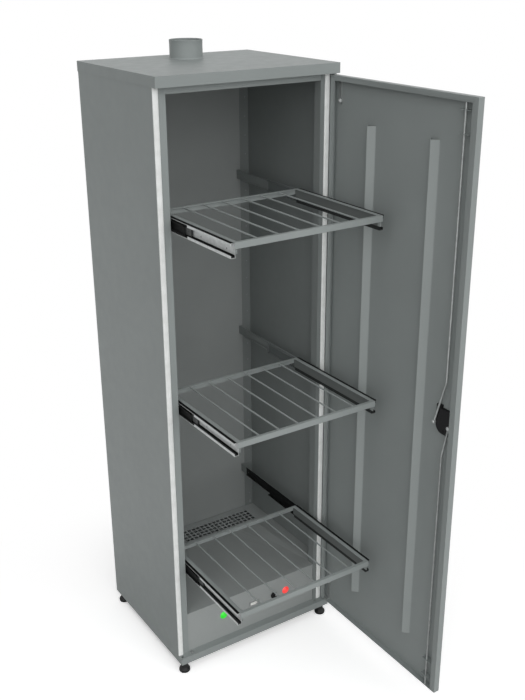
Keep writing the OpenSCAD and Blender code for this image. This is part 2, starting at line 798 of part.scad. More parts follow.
// Strap with its eye, foot and hinge pin. Its z is 0 at the flange, with the pin upwards
module hinge() {
    foot_t = 3;
    drop = strap_len - t;
    color(zinc) difference() {
        union() {
            slab([strap_at - strap_w / 2, door_skin - strap_t, -drop],
                [strap_at + strap_w / 2, door_skin, 0]);
            bar_y(eye_d, strap_at, -drop, door_skin - strap_t, door_skin);
            slab([pivot_at - 6, 3, -foot_t], [strap_at + strap_w / 2, door_skin, 0]);
            translate([pivot_at, pivot_in, -foot_t - 5])
                cylinder(d = pin_d, h = foot_t + 5 + t + door_play + 8);
        }
        bar_y(5 + running, strap_at, -drop, door_skin - strap_t - over, door_skin + over);
    }
}

// Round-headed screws through the hinge eyes into the door's skin
module upper_hinge() {
    on_door() translate([0, 0, door_z1 - t]) hinge();
}

module lower_hinge() {
    on_door() translate([0, 0, door_z0 + t]) mirror([0, 0, 1]) hinge();
}

module hinge_screws() {
    head_d = 12;
    head_t = 3;
    head_y = door_skin - strap_t;
    color(nylon_white) on_door() for (z = [door_z0 + strap_len, door_z1 - strap_len]) {
        bar_y(head_d, strap_at, z, head_y - head_t, head_y);
        bar_y(5, strap_at, z, head_y - over, door_t - 0.2);
    }
}

// Outline of the lock housing, drawn inwards by a margin
module lock_outline(m) {
    x0 = lock_at - case_hinge_side + m;
    x1 = lock_at + case_free_side - m;
    z0 = lock_z - case_below + m;
    z1 = lock_z + case_above - m;
    r = case_round - m;
    translate([x0 + r, z0]) square([x1 - x0 - r, z1 - case_step - z0]);
    translate([x0, z0 + r]) square([x1 - x0, z1 - case_step - z0 - r]);
    translate([x0, z0 + r]) square([case_step_at - 2 * m, z1 - z0 - r]);
    translate([x0 + r, z0 + r]) circle(r = r);
}

module lock_housing() {
    slot_w = rod_pin_d + 1;
    lower_pin_x = lock_at + rod_pin_off;
    arm_z = 5 + touch;
    color(plastic_black) on_door() difference() {
        plate_xz(case_y, door_skin) lock_outline(0);
        plate_xz(case_y + case_t, door_skin - case_t) lock_outline(case_t);
        bar_y(spindle_d + running, lock_at, lock_z, gear_y1, door_skin + over);
        slab([lower_pin_x - slot_w / 2, case_y - over, lock_z - rod_stroke - 4],
            [lower_pin_x + slot_w / 2, case_y + case_t + over, lock_z + 4]);
        slab([lock_at - case_hinge_side - over, case_y + case_t, lock_z - arm_z],
            [lock_at - case_hinge_side + case_t + over, door_skin - case_t, lock_z + rod_stroke + arm_z]);
    }
}

// Flank of a pinion tooth: the involute's point at roll angle a, in polar form
function roll_r(a, base_r) = base_r * sqrt(1 + pow(a * PI / 180, 2));
function roll_turn(a) = a - atan(a * PI / 180);

module pinion_shape() {
    base_r = gear_r * cos(20);
    root_r = gear_r - 1.15 * gear_m;
    tip_r = gear_r + 0.7 * gear_m;
    slack = 0.3;
    pitch_roll = tan(20) * 180 / PI;
    half = 90 / gear_teeth - slack / 2 / gear_r * 180 / PI + roll_turn(pitch_roll);
    tip_roll = sqrt(pow(tip_r / base_r, 2) - 1) * 180 / PI;
    steps = 4;
    flank = [for (i = [0 : steps]) let (a = tip_roll * i / steps) [roll_r(a, base_r), half - roll_turn(a)]];
    circle(r = root_r);
    for (k = [0 : gear_teeth - 1]) rotate(k * 360 / gear_teeth)
        polygon(concat([[0, 0]],
            [for (p = flank) [p[0] * cos(p[1]), -p[0] * sin(p[1])]],
            [for (i = [steps : -1 : 0]) [flank[i][0] * cos(flank[i][1]), flank[i][0] * sin(flank[i][1])]]));
}

module lock_pinion() {
    color(zinc) on_door() difference() {
        translate([lock_at, 0, lock_z]) plate_xz(gear_y0, gear_y1) pinion_shape();
        bar_y(spindle_d + running, lock_at, lock_z, gear_y0 - over, gear_y1 + over);
    }
}

// Rack with its teeth towards -x, pitch line at x = 0, from z0 to z1, and its arm and pin
module rack(z0, z1) {
    pitch = PI * gear_m;
    add = 0.7 * gear_m;
    ded = 1.2 * gear_m;
    half = pitch / 4 - 0.15;
    slope = tan(20);
    back = ded + 4;
    reach = rod_pin_off - gear_r;
    first = ceil((z0 + half + ded * slope) / pitch - 0.5);
    last = floor((z1 - half - ded * slope) / pitch - 0.5);
    plate_xz(gear_y0, gear_y1) {
        translate([ded, z0]) square([back - ded, z1 - z0]);
        translate([ded, -5]) square([reach + 4 - ded, 10]);
        for (k = [first : last])
            translate([0, (k + 0.5) * pitch]) polygon([[ded + 0.01, -half - ded * slope],
                [-add, -half + add * slope], [-add, half - add * slope], [ded + 0.01, half + ded * slope]]);
    }
    bar_y(rod_pin_d, reach, 0, rod_depth, gear_y0 + over);
}

// A rod in the door's plane: upright from z_end to the bend, then slanting to its eye
module bent_rod(pin_x, bend_z, z_end) {
    dx = rod_at - pin_x;
    dz = bend_z - lock_z;
    slant = sqrt(dx * dx + dz * dz);
    translate([rod_at, rod_depth, min(bend_z, z_end)]) cylinder(d = lock_rod_d, h = abs(z_end - bend_z));
    translate([rod_at, rod_depth, bend_z]) sphere(d = lock_rod_d + 0.4);
    translate([pin_x, rod_depth, lock_z]) rotate([0, atan2(dx, dz), 0]) cylinder(d = lock_rod_d, h = slant);
    bar_y(rod_eye_d, pin_x, lock_z, rod_depth - lock_rod_d / 2, rod_depth + lock_rod_d / 2);
}

module upper_lock_rod() {
    color(zinc) on_door() {
        bent_rod(lock_at - rod_pin_off, lock_z + upper_bend, door_z1 - rod_rest);
        translate([lock_at - gear_r, 0, lock_z]) mirror([1, 0, 0]) rack(-rack_tail, rack_head);
    }
}

module lower_lock_rod() {
    color(zinc) on_door() {
        bent_rod(lock_at + rod_pin_off, lock_z - lower_bend, door_z0 + rod_rest);
        translate([lock_at + gear_r, 0, lock_z]) rack(-rack_head, rack_tail);
    }
}

// Bent sheet guides near the ends of the lock rods
module rod_guides() {
    color(shelf_grey) on_door() for (low = [door_z0 + guide_gap, door_z1 - guide_gap - guide_h])
        difference() {
            union() {
                slab([rod_at - guide_w / 2, door_skin - guide_t, low],
                    [rod_at + guide_w / 2, door_skin, low + guide_h]);
                for (z = [low, low + guide_h - guide_t])
                    slab([rod_at - guide_w / 2, touch, z], [rod_at + guide_w / 2, door_skin, z + guide_t]);
            }
            translate([rod_at, rod_depth, low - over])
                cylinder(d = lock_rod_d + 0.5, h = guide_h + 2 * over);
        }
}

// T-handle outside the door, with its spindle, drawn upright
module door_handle() {
    rose_d = 44;
    rose_t = 4;
    neck_d = 28;
    grip_w = 18;
    grip_t = 13;
    face = door_t + touch;
    grip_y = door_t + handle_out - grip_t;
    half = grip_len / 2 - grip_w / 2;
    color(plastic_black) on_door() translate([lock_at, 0, lock_z]) difference() {
        union() {
            bar_y(rose_d, 0, 0, face, face + rose_t);
            bar_y(neck_d, 0, 0, face, door_t + handle_out);
            for (z = [-half, half])
                bar_y(grip_w, 0, z, grip_y, door_t + handle_out);
            slab([-grip_w / 2, grip_y, -half], [grip_w / 2, door_t + handle_out, half]);
            bar_y(spindle_d, 0, 0, gear_y0, face + rose_t);
        }
        bar_y(16 + running, 0, 0, door_t + handle_out - 8, door_t + handle_out + over);
    }
}

module lock_cylinder() {
    face = door_t + handle_out;
    color(zinc) on_door() translate([lock_at, 0, lock_z]) difference() {
        bar_y(16, 0, 0, face - 8, face);
        slab([-1, face - 3, -5], [1, face + over, 5]);
    }
}

// ---------- nodes ----------

from_left() side_panel(left_post_w);  // left_side_panel
from_right() side_panel(right_post_w);  // right_side_panel
back_panel();
roof_cap();
base_tray();
front_header();
exhaust_spigot();
from_left() door_seal(left_seal_in);  // left_door_seal
from_right() door_seal(right_seal_in);  // right_door_seal
foot(foot_in, foot_in);  // front_left_foot
foot(body_w - foot_in, foot_in);  // front_right_foot
foot(foot_in, body_d - foot_in);  // back_left_foot
foot(body_w - foot_in, body_d - foot_in);  // back_right_foot
heater_cover();
fan_housing();
fan_motor();
fan_impeller();
heating_element();
element_bracket();
thermostat();
terminal_block();
cable_gland();
lamp(green_x, lamp_green);  // green_lamp
lamp(red_x, lamp_red);  // red_lamp
control_knob();
switch_frame();
switch_rocker();
from_left(shelf_z[0]) outer_slide(left_post_w);  // bottom_left_outer_slide
from_right(shelf_z[0]) outer_slide(right_post_w);  // bottom_right_outer_slide
from_left(shelf_z[1]) outer_slide(left_post_w);  // middle_left_outer_slide
from_right(shelf_z[1]) outer_slide(right_post_w);  // middle_right_outer_slide
from_left(shelf_z[2]) outer_slide(left_post_w);  // top_left_outer_slide
from_right(shelf_z[2]) outer_slide(right_post_w);  // top_right_outer_slide
mid_pair(shelf_z[0]);  // bottom_mid_slides
mid_pair(shelf_z[1]);  // middle_mid_slides
mid_pair(shelf_z[2]);  // top_mid_slides
from_left(shelf_z[0]) inner_slide(left_post_w);  // bottom_left_inner_slide
from_right(shelf_z[0]) inner_slide(right_post_w);  // bottom_right_inner_slide
from_left(shelf_z[1]) inner_slide(left_post_w);  // middle_left_inner_slide
from_right(shelf_z[1]) inner_slide(right_post_w);  // middle_right_inner_slide
from_left(shelf_z[2]) inner_slide(left_post_w);  // top_left_inner_slide
from_right(shelf_z[2]) inner_slide(right_post_w);  // top_right_inner_slide
left_brackets();  // left_slide_brackets
right_brackets();  // right_slide_brackets
translate([0, 0, shelf_z[0]]) shelf();  // bottom_shelf
translate([0, 0, shelf_z[1]]) shelf();  // middle_shelf
translate([0, 0, shelf_z[2]]) shelf();  // top_shelf
door_panel();
rib(rib_1_at);  // hinge_side_rib
rib(rib_2_at);  // lock_side_rib
lock_housing();
lock_pinion();
door_handle();
lock_cylinder();
upper_lock_rod();
lower_lock_rod();
rod_guides();
upper_hinge();
lower_hinge();
hinge_screws();
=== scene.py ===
"""Looks of a sheet steel drying cabinet: powder coated shell, rod shelves on slides, rod locked door.

Sizes are written in millimetres in the cabinet's own frame, whose corner is the front left bottom edge
of the body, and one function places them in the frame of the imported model.
"""

import json
import logging
import math
from dataclasses import dataclass, field
from enum import Enum
from typing import Any, Callable, Iterable, Optional, Union

import bmesh
import bpy
import numpy as np
from mathutils import Matrix

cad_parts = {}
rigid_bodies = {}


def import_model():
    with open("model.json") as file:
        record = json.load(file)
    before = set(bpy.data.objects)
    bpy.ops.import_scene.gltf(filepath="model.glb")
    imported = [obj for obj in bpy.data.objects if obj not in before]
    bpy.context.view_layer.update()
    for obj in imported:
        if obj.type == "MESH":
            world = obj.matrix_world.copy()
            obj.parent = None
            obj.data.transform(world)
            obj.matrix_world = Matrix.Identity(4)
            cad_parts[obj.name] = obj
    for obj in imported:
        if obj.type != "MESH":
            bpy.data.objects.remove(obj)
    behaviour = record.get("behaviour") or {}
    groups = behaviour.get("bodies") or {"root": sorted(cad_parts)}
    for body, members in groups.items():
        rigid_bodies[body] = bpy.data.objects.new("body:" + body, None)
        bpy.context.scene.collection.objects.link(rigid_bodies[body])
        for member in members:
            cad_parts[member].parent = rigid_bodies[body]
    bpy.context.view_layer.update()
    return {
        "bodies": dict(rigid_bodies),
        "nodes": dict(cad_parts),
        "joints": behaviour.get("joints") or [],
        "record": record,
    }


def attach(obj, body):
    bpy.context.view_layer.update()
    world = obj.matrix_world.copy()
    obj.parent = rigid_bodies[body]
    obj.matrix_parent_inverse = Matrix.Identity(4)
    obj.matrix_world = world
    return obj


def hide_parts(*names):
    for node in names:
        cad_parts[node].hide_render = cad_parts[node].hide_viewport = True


log = logging.getLogger("drying_cabinet")

Tree, Node, Socket = bpy.types.NodeTree, bpy.types.Node, bpy.types.NodeSocket
Pair = tuple[float, float]
Triple = tuple[float, float, float]

MM = 0.001
TURN = 2 * math.pi
# Where the cabinet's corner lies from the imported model's origin, in millimetres.
CORNER = np.array([-314.0, 32.5, 40.0])
# The three shelves and the heights of their tops.
LEVELS = ("bottom", "middle", "top")
TOPS = (371.0, 937.0, 1503.0)
# Degrees from which an edge is shaded sharp.
SHARP = 38.0
# Metres within which points are merged, angle up to which faces are one, angle of a rounded edge.
SEAM = 2e-6
FLAT = math.radians(0.4)
EDGE = math.radians(40)


class Side(Enum):
    """Side of the body that a slide is fixed to."""

    LEFT = "left"
    RIGHT = "right"

    @property
    def sign(self) -> float:
        """Direction of x towards the side's wall."""
        return -1.0 if self is Side.LEFT else 1.0


class Axis(Enum):
    """Axis of the cabinet that a profile is pulled along or turned about."""

    X = 0
    Y = 1
    Z = 2


# ---------------------------------------------------------------- places


def placed(points: np.ndarray) -> np.ndarray:
    """Moves points from the cabinet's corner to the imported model's frame.

    Args:
        points: Array whose last axis is x, y, z in millimetres.

    Returns:
        The same points in metres, (point + corner) / 1000.
    """
    return (np.asarray(points, float) + CORNER) * MM


def on_door(points: np.ndarray) -> np.ndarray:
    """Turns points of the open door into the cabinet's frame.

    Args:
        points: Last axis is u from the hinge edge, v from the inner to the outer face, and height z.

    Returns:
        Points (580 + v, 18 - u, z), because the open door stands at a right angle to the front.
    """
    p = np.asarray(points, float)
    return np.stack([580.0 + p[..., 1], 18.0 - p[..., 0], p[..., 2]], axis=-1)


def along(axis: Axis, a: np.ndarray, b: np.ndarray, depth: np.ndarray) -> np.ndarray:
    """Puts a flat shape's two coordinates and its depth on the right axes.

    Args:
        axis: The axis that depth is measured on.
        a: First flat coordinate: y for X, x for Y and Z.
        b: Second flat coordinate: z for X and Y, y for Z.
        depth: Place along the axis.

    Returns:
        Points with x, y, z on the last axis.
    """
    a, b, depth = np.broadcast_arrays(a, b, depth)
    order = {Axis.X: (depth, a, b), Axis.Y: (a, depth, b), Axis.Z: (a, b, depth)}[axis]
    return np.stack(order, axis=-1)


# ---------------------------------------------------------------- surfaces


@dataclass
class Surface:
    """Points and faces of one piece, gathered from closed shells that are worked out as grids."""

    points: list[np.ndarray] = field(default_factory=list)
    faces: list[tuple[int, ...]] = field(default_factory=list)
    count: int = 0

    def grid(self, pts: np.ndarray, loop: bool = False) -> "Surface":
        """Adds a grid of quads, pts[u, v], whose rows close on themselves.

        Args:
            pts: Array (rows, columns, 3) in cabinet millimetres.
            loop: Whether the last row joins the first; otherwise both end rows get a cap.

        Returns:
            This surface, so that calls can follow each other.
        """
        rows, cols = pts.shape[:2]
        at = np.arange(rows * cols).reshape(rows, cols) + self.count
        u = at if loop else at[:-1]
        nxt = np.roll(at, -1, axis=0) if loop else at[1:]
        quads = np.stack([u, np.roll(u, -1, 1), np.roll(nxt, -1, 1), nxt], -1)
        self.faces += [tuple(q) for q in quads.reshape(-1, 4).tolist()]
        if not loop:
            self.faces.append(tuple(at[0][::-1].tolist()))
            self.faces.append(tuple(at[-1].tolist()))
        self.points.append(pts.reshape(-1, 3))
        self.count += rows * cols
        return self

    def join(self, other: "Surface") -> "Surface":
        """Takes over another surface's points and faces."""
        self.faces += [tuple(k + self.count for k in f) for f in other.faces]
        self.points += other.points
        self.count += other.count
        return self

    def moved(self, change: Callable[[np.ndarray], np.ndarray]) -> "Surface":
        """Applies a change of place to all points gathered so far."""
        self.points = [change(p) for p in self.points]
        return self

    def build(self, name: str, finish: "Finish", body: str, stands_for: Iterable[str] = (),
              sharp: float = SHARP) -> bpy.types.Object:
        """Makes the Blender object, closes its seams and turns its faces outwards.

        Args:
            name: Name of the piece.
            finish: Its finish.
            body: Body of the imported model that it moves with.
            stands_for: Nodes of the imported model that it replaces.
            sharp: Angle in degrees from which an edge is shaded sharp.

        Returns:
            The finished object.
        """
        mesh = bpy.data.meshes.new(name)
        mesh.from_pydata(placed(np.concatenate(self.points)), [], self.faces)
        bm = bmesh.new()
        bm.from_mesh(mesh)
        bmesh.ops.remove_doubles(bm, verts=bm.verts, dist=1e-6)
        bmesh.ops.recalc_face_normals(bm, faces=bm.faces)
        bm.to_mesh(mesh)
        bm.free()
        return finished(mesh, name, finish, body, stands_for, sharp)


def linked(name: str, data: bpy.types.ID) -> bpy.types.Object:
    """A new object with the given data, in the scene."""
    thing = bpy.data.objects.new(name, data)
    bpy.context.scene.collection.objects.link(thing)
    return thing


def finished(mesh: bpy.types.Mesh, name: str, finish: "Finish", body: str, stands_for: Iterable[str],
             sharp: float) -> bpy.types.Object:
    """Links a mesh as a piece with its finish, body and replaced nodes.

    Args:
        mesh: The mesh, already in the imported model's frame.
        name: Name of the piece.
        finish: Its finish.
        body: Body that it moves with.
        stands_for: Nodes that it replaces.
        sharp: Angle in degrees from which an edge is shaded sharp.

    Returns:
        The object.
    """
    mesh.shade_smooth()
    mesh.set_sharp_from_angle(angle=math.radians(sharp))
    mesh.materials.clear()
    mesh.materials.append(finish.material())
    piece = linked(name, mesh)
    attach(piece, body)
    names = list(stands_for)
    if names:
        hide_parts(*names)
    log.info("%s rides on %s, %d faces", name, body, len(mesh.polygons))
    return piece


def circle(radius: float, steps: int = 32) -> np.ndarray:
    """A circle's points, (r cos t, r sin t) for t over a full turn."""
    t = np.linspace(0.0, TURN, steps, endpoint=False)
    return np.stack([radius * np.cos(t), radius * np.sin(t)], axis=-1)


def turned(profile: Iterable[Pair], axis: Axis, centre: Pair,
           steps: int = 48, loop: bool = False) -> Surface:
    """A profile of radius and depth turned about an axis: (r cos t, r sin t, depth).

    Args:
        profile: Pairs of radius and depth along the axis.
        axis: The axis of the turning.
        centre: The flat coordinates of the axis, as along() orders them.
        steps: Number of points around.
        loop: Whether the profile closes on itself, as a tube's wall does.

    Returns:
        The surface.
    """
    prof = np.array(list(profile), float)
    ring = circle(1.0, steps)
    r = np.maximum(prof[:, :1], 1e-4)
    a = centre[0] + r * ring[None, :, 0]
    b = centre[1] + r * ring[None, :, 1]
    return Surface().grid(along(axis, a, b, prof[:, 1:] + 0 * a), loop=loop)


def dome(radius: float, base: float, rise: float, steps: int = 7) -> list[Pair]:
    """Half an ellipse as a profile: (radius sin a, base + rise cos a), a from 0 to a quarter turn."""
    return [(radius * math.sin(a), base + rise * math.cos(a))
            for a in np.linspace(0, math.pi / 2, steps)]


def pulled(outline: np.ndarray, axis: Axis, start: float, end: float) -> Surface:
    """A closed flat outline pulled straight along an axis, with both ends capped."""
    depth = np.array([[start], [end]])
    return Surface().grid(along(axis, outline[None, :, 0], outline[None, :, 1], depth))


def rounded(corners: Iterable[Triple], inset: float = 0.0, steps: int = 6) -> np.ndarray:
    """An outline with rounded corners, moved inwards by an inset.

    Each edge moves inwards by the inset along its normal. Each corner is the arc that touches both
    moved edges, with its radius less the inset where the outline is convex and more where it is hollow.

    Args:
        corners: Corners anticlockwise, each with its radius.
        inset: Distance inwards.
        steps: Points of each arc.

    Returns:
        Array (corners * steps, 2).
    """
    c = np.array(list(corners), float)
    p, radius = c[:, :2], c[:, 2]
    into = p - np.roll(p, 1, 0)
    into /= np.linalg.norm(into, axis=1, keepdims=True)
    out = np.roll(into, -1, 0)
    turn = into[:, 0] * out[:, 1] - into[:, 1] * out[:, 0]
    n_in = np.stack([-into[:, 1], into[:, 0]], 1)
    n_out = np.stack([-out[:, 1], out[:, 0]], 1)
    half = 1.0 + (n_in * n_out).sum(1)
    apex = p + inset * (n_in + n_out) / half[:, None]
    r = np.maximum(radius - inset * np.sign(turn), 0.05)
    middle = apex + (r * np.sign(turn) / half)[:, None] * (n_in + n_out)
    s = np.linspace(0.0, 1.0, steps)[None, :, None]
    angle = np.arcsin(np.clip(turn, -1, 1))[:, None, None]
    first = -n_in[:, None, :] * np.sign(turn)[:, None, None]
    side = into[:, None, :]
    arc = first * np.cos(np.abs(angle) * s) + side * np.sin(np.abs(angle) * s)
    return (middle[:, None, :] + r[:, None, None] * arc).reshape(-1, 2)


def pillow(corners: Iterable[Triple], axis: Axis, back: float, front: float,
           fillet: float, steps: int = 5, both: bool = False) -> Surface:
    """A plate with a rounded outline and rounded front edge.

    Row k lies at depth front - f (1 - sin a) with inset f (1 - cos a), a from 0 to a quarter turn, so the
    rows make a quarter circle of radius f around the edge.

    Args:
        corners: Corners with radii, anticlockwise.
        axis: Axis of the thickness.
        back: Depth of the back face.
        front: Depth of the front face.
        fillet: Radius of the edge rounding.
        steps: Rows of the rounding.
        both: Whether the back edge is rounded too.

    Returns:
        The surface.
    """
    sign = 1.0 if front > back else -1.0
    a = np.linspace(0.0, math.pi / 2, steps)
    inset = fillet * (1 - np.cos(a))
    depth = front - sign * fillet * (1 - np.sin(a))
    if both:
        inset = np.concatenate([inset[::-1], inset])
        depth = np.concatenate([(back + sign * fillet * (1 - np.sin(a)))[::-1], depth])
    else:
        inset, depth = np.concatenate([[0.0], inset]), np.concatenate([[back], depth])
    rows = np.stack([rounded(corners, m) for m in inset])
    return Surface().grid(along(axis, rows[..., 0], rows[..., 1], depth[:, None]))


def folded(line: Iterable[Pair], thickness: float, bend: float, steps: int = 5) -> np.ndarray:
    """The closed outline of a folded sheet.

    The middle line gets an arc of radius bend at each fold. Its points are then moved by half the
    thickness to both sides along their normals, forwards on one side and back on the other.

    Args:
        line: Corners of the sheet's middle line.
        thickness: Thickness of the sheet.
        bend: Radius of the middle line at a fold.
        steps: Points of each arc.

    Returns:
        Outline points (n, 2).
    """
    p = np.array(list(line), float)
    mid, normal = [p[0]], []
    d = np.diff(p, axis=0)
    d /= np.linalg.norm(d, axis=1, keepdims=True)
    n = np.stack([-d[:, 1], d[:, 0]], 1)
    normal.append(n[0])
    for k in range(1, len(p) - 1):
        cross = d[k - 1, 0] * d[k, 1] - d[k - 1, 1] * d[k, 0]
        s = np.sign(cross)
        half = 1 + n[k - 1] @ n[k]
        centre = p[k] + s * bend * (n[k - 1] + n[k]) / half
        sweep = abs(math.atan2(cross, d[k - 1] @ d[k]))
        t = np.linspace(0, sweep, steps)[:, None]
        away = -s * n[k - 1] * np.cos(t) + d[k - 1] * np.sin(t)
        mid.append(centre + bend * away)
        normal.append(-s * away)
    mid.append(p[-1])
    normal.append(n[-1])
    m, w = np.vstack(mid), np.vstack(normal)
    return np.concatenate([m + w * thickness / 2, (m - w * thickness / 2)[::-1]])


def thread(radius: float, pitch: float, low: float, high: float, centre: Pair) -> Surface:
    """A screw thread: radius less depth times a triangle wave of (z / pitch - t / turn)."""
    t = np.linspace(0, TURN, 24, endpoint=False)[None, :]
    z = np.linspace(low, high, max(8, int((high - low) / pitch * 6)))[:, None]
    wave = np.abs(((z / pitch - t / TURN) % 1.0) * 2 - 1)
    r = radius - 0.6 * pitch * wave
    return Surface().grid(along(Axis.Z, centre[0] + r * np.cos(t), centre[1] + r * np.sin(t), z + 0 * t))


def dressed(frame: dict[str, Any], node: str, finish: "Finish", body: str, bevel: float,
            steps: int = 2) -> bpy.types.Object:
    """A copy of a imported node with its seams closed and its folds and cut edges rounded.

    Args:
        node: Name of the node.
        finish: Finish of the copy.
        body: Body that it moves with.
        bevel: Radius of the rounding in millimetres.
        steps: Segments of the rounding.

    Returns:
        The copy, which replaces the node.
    """
    mesh = frame["nodes"][node].data.copy()
    bm = bmesh.new()
    bm.from_mesh(mesh)
    bmesh.ops.remove_doubles(bm, verts=bm.verts, dist=SEAM)
    bmesh.ops.dissolve_limit(bm, angle_limit=FLAT, verts=bm.verts, edges=bm.edges)
    bm.to_mesh(mesh)
    bm.free()
    piece = finished(mesh, node + "_dressed", finish, body, [node], SHARP)
    edge = piece.modifiers.new("edge", "BEVEL")
    edge.width = bevel * MM
    edge.segments = steps
    edge.limit_method = "ANGLE"
    edge.angle_limit = EDGE
    edge.harden_normals = True
    edge.miter_outer = "MITER_ARC"
    return piece


@dataclass
class Assembly:
    """A group of pieces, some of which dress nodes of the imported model."""

    frame: dict[str, Any]

    def dress(self, *rows: tuple[Any, ...]) -> None:
        """Dresses one node for each row of node, finish, body, bevel and, if it isn't 2, steps."""
        for row in rows:
            dressed(self.frame, *row)


# ---------------------------------------------------------------- finishes


def linear(code: str) -> tuple[float, float, float, float]:
    """Turns sRGB hex into linear colour: c / 12.92 when dark, else ((c + 0.055) / 1.055) ^ 2.4."""
    parts = [int(code[k:k + 2], 16) / 255 for k in (1, 3, 5)]
    r, g, b = [c / 12.92 if c <= 0.04045 else ((c + 0.055) / 1.055) ** 2.4 for c in parts]
    return r, g, b, 1.0


def cleared(owner: Union[bpy.types.Material, bpy.types.World]) -> Tree:
    """Turns on the nodes of a material or world and empties their tree."""
    owner.use_nodes = True
    owner.node_tree.nodes.clear()
    return owner.node_tree


def add(tree: Tree, kind: str, values: Optional[dict[Any, Any]] = None,
        links: Optional[dict[Any, Union[Node, Socket]]] = None, **settings: Any) -> Node:
    """Adds one node.

    Args:
        tree: Node tree that gets the node.
        kind: Blender's name of the node type.
        values: Values of inputs, by name or number.
        links: Sockets that feed inputs, by name or number. A node stands for its first output.
        **settings: Attributes of the node.

    Returns:
        The node.
    """
    node = tree.nodes.new(kind)
    for name, value in settings.items():
        setattr(node, name, value)
    for name, value in (values or {}).items():
        node.inputs[name].default_value = value
    for name, feed in (links or {}).items():
        tree.links.new(feed if isinstance(feed, Socket) else feed.outputs[0], node.inputs[name])
    return node


def spot(tree: Tree) -> Node:
    """The shaded point's object coordinates in metres, as outputs X, Y and Z."""
    place = add(tree, "ShaderNodeTexCoord").outputs["Object"]
    return add(tree, "ShaderNodeSeparateXYZ", links={0: place})


@dataclass(frozen=True)
class Finish:
    """A finish with an even colour. Its subclasses draw what the real surface shows."""

    name: str
    slot: str
    colour: str
    roughness: float
    metallic: float = 0.0
    ior: float = 1.5
    specular: float = 0.5

    def material(self) -> bpy.types.Material:
        """The Blender material, made at its first use."""
        known = bpy.data.materials.get(self.name)
        if known:
            return known
        mat = bpy.data.materials.new(self.name)
        tree = cleared(mat)
        shader = add(tree, "ShaderNodeBsdfPrincipled", {
            "Base Color": linear(self.colour), "Roughness": self.roughness, "Metallic": self.metallic,
            "Specular IOR Level": self.specular})
        if self.metallic == 0.0:
            shader.inputs["IOR"].default_value = self.ior
        add(tree, "ShaderNodeOutputMaterial", links={"Surface": shader})
        self.paint(tree, shader, add(tree, "ShaderNodeTexCoord").outputs["Object"])
        return mat

    def paint(self, tree: Tree, shader: Node, place: Socket) -> None:
        """Draws the surface's detail.

        Args:
            tree: The material's nodes.
            shader: Its shader.
            place: Object coordinates in metres.
        """

    def noise(self, tree: Tree, place: Socket, size_mm: float, detail: float = 2.0,
              stretch: Triple = (1.0, 1.0, 1.0)) -> Socket:
        """Noise whose grains are about size_mm across, stretched along the axes by the given factors."""
        scale = tuple(1.0 / s for s in stretch)
        where = add(tree, "ShaderNodeMapping", {"Scale": scale}, {"Vector": place})
        return add(tree, "ShaderNodeTexNoise", {"Scale": 1.0 / MM / size_mm, "Detail": detail},
                   {"Vector": where}).outputs[0]

    def spread(self, tree: Tree, factor: Socket, low: float, high: float) -> Socket:
        """Maps noise, which keeps between about 0.3 and 0.7, to a range."""
        limits = {"From Min": 0.3, "From Max": 0.7, "To Min": low, "To Max": high}
        return add(tree, "ShaderNodeMapRange", limits, {"Value": factor}).outputs[0]

    def mixed(self, tree: Tree, factor: Socket, other: str) -> Socket:
        """The base colour mixed with another one by a factor."""
        tones = {6: linear(self.colour), 7: linear(other)}
        return add(tree, "ShaderNodeMix", tones, {0: factor}, data_type="RGBA").outputs[2]

    def tint(self, tree: Tree, shader: Node, factor: Socket, other: str) -> None:
        """Gives the shader the mixed colour."""
        tree.links.new(self.mixed(tree, factor, other), shader.inputs["Base Color"])

    def gloss(self, tree: Tree, shader: Node, factor: Socket, less: float, more: float) -> None:
        """Lets the roughness vary by a factor, between its value less one step and plus another."""
        tree.links.new(self.spread(tree, factor, self.roughness - less, self.roughness + more),
                       shader.inputs["Roughness"])

    def relief(self, tree: Tree, shader: Node, height: Socket, depth_mm: float,
               strength: float = 1.0) -> None:
        """Gives the surface a relief of the given depth."""
        bump = add(tree, "ShaderNodeBump", {"Strength": strength, "Distance": depth_mm * MM},
                   {"Height": height})
        tree.links.new(bump.outputs[0], shader.inputs["Normal"])


@dataclass(frozen=True)
class PowderCoat(Finish):
    """Polyester powder baked on steel: satin, with orange peel and a faint clouding."""

    cloud: str = "#8c9291"
    specular: float = 0.3

    def paint(self, tree: Tree, shader: Node, place: Socket) -> None:
        """Clouding over 160 mm, gloss that varies, and orange peel.

        The real peel is about 1 mm across, which is too fine for the picture, so it is drawn at 2.5 mm.
        """
        cloud = self.noise(tree, place, 160.0, 3.0)
        self.tint(tree, shader, self.spread(tree, cloud, 0.0, 1.0), self.cloud)
        self.gloss(tree, shader, self.noise(tree, place, 35.0), 0.04, 0.05)
        self.relief(tree, shader, self.noise(tree, place, 2.5, 1.0), 0.05, 0.6)


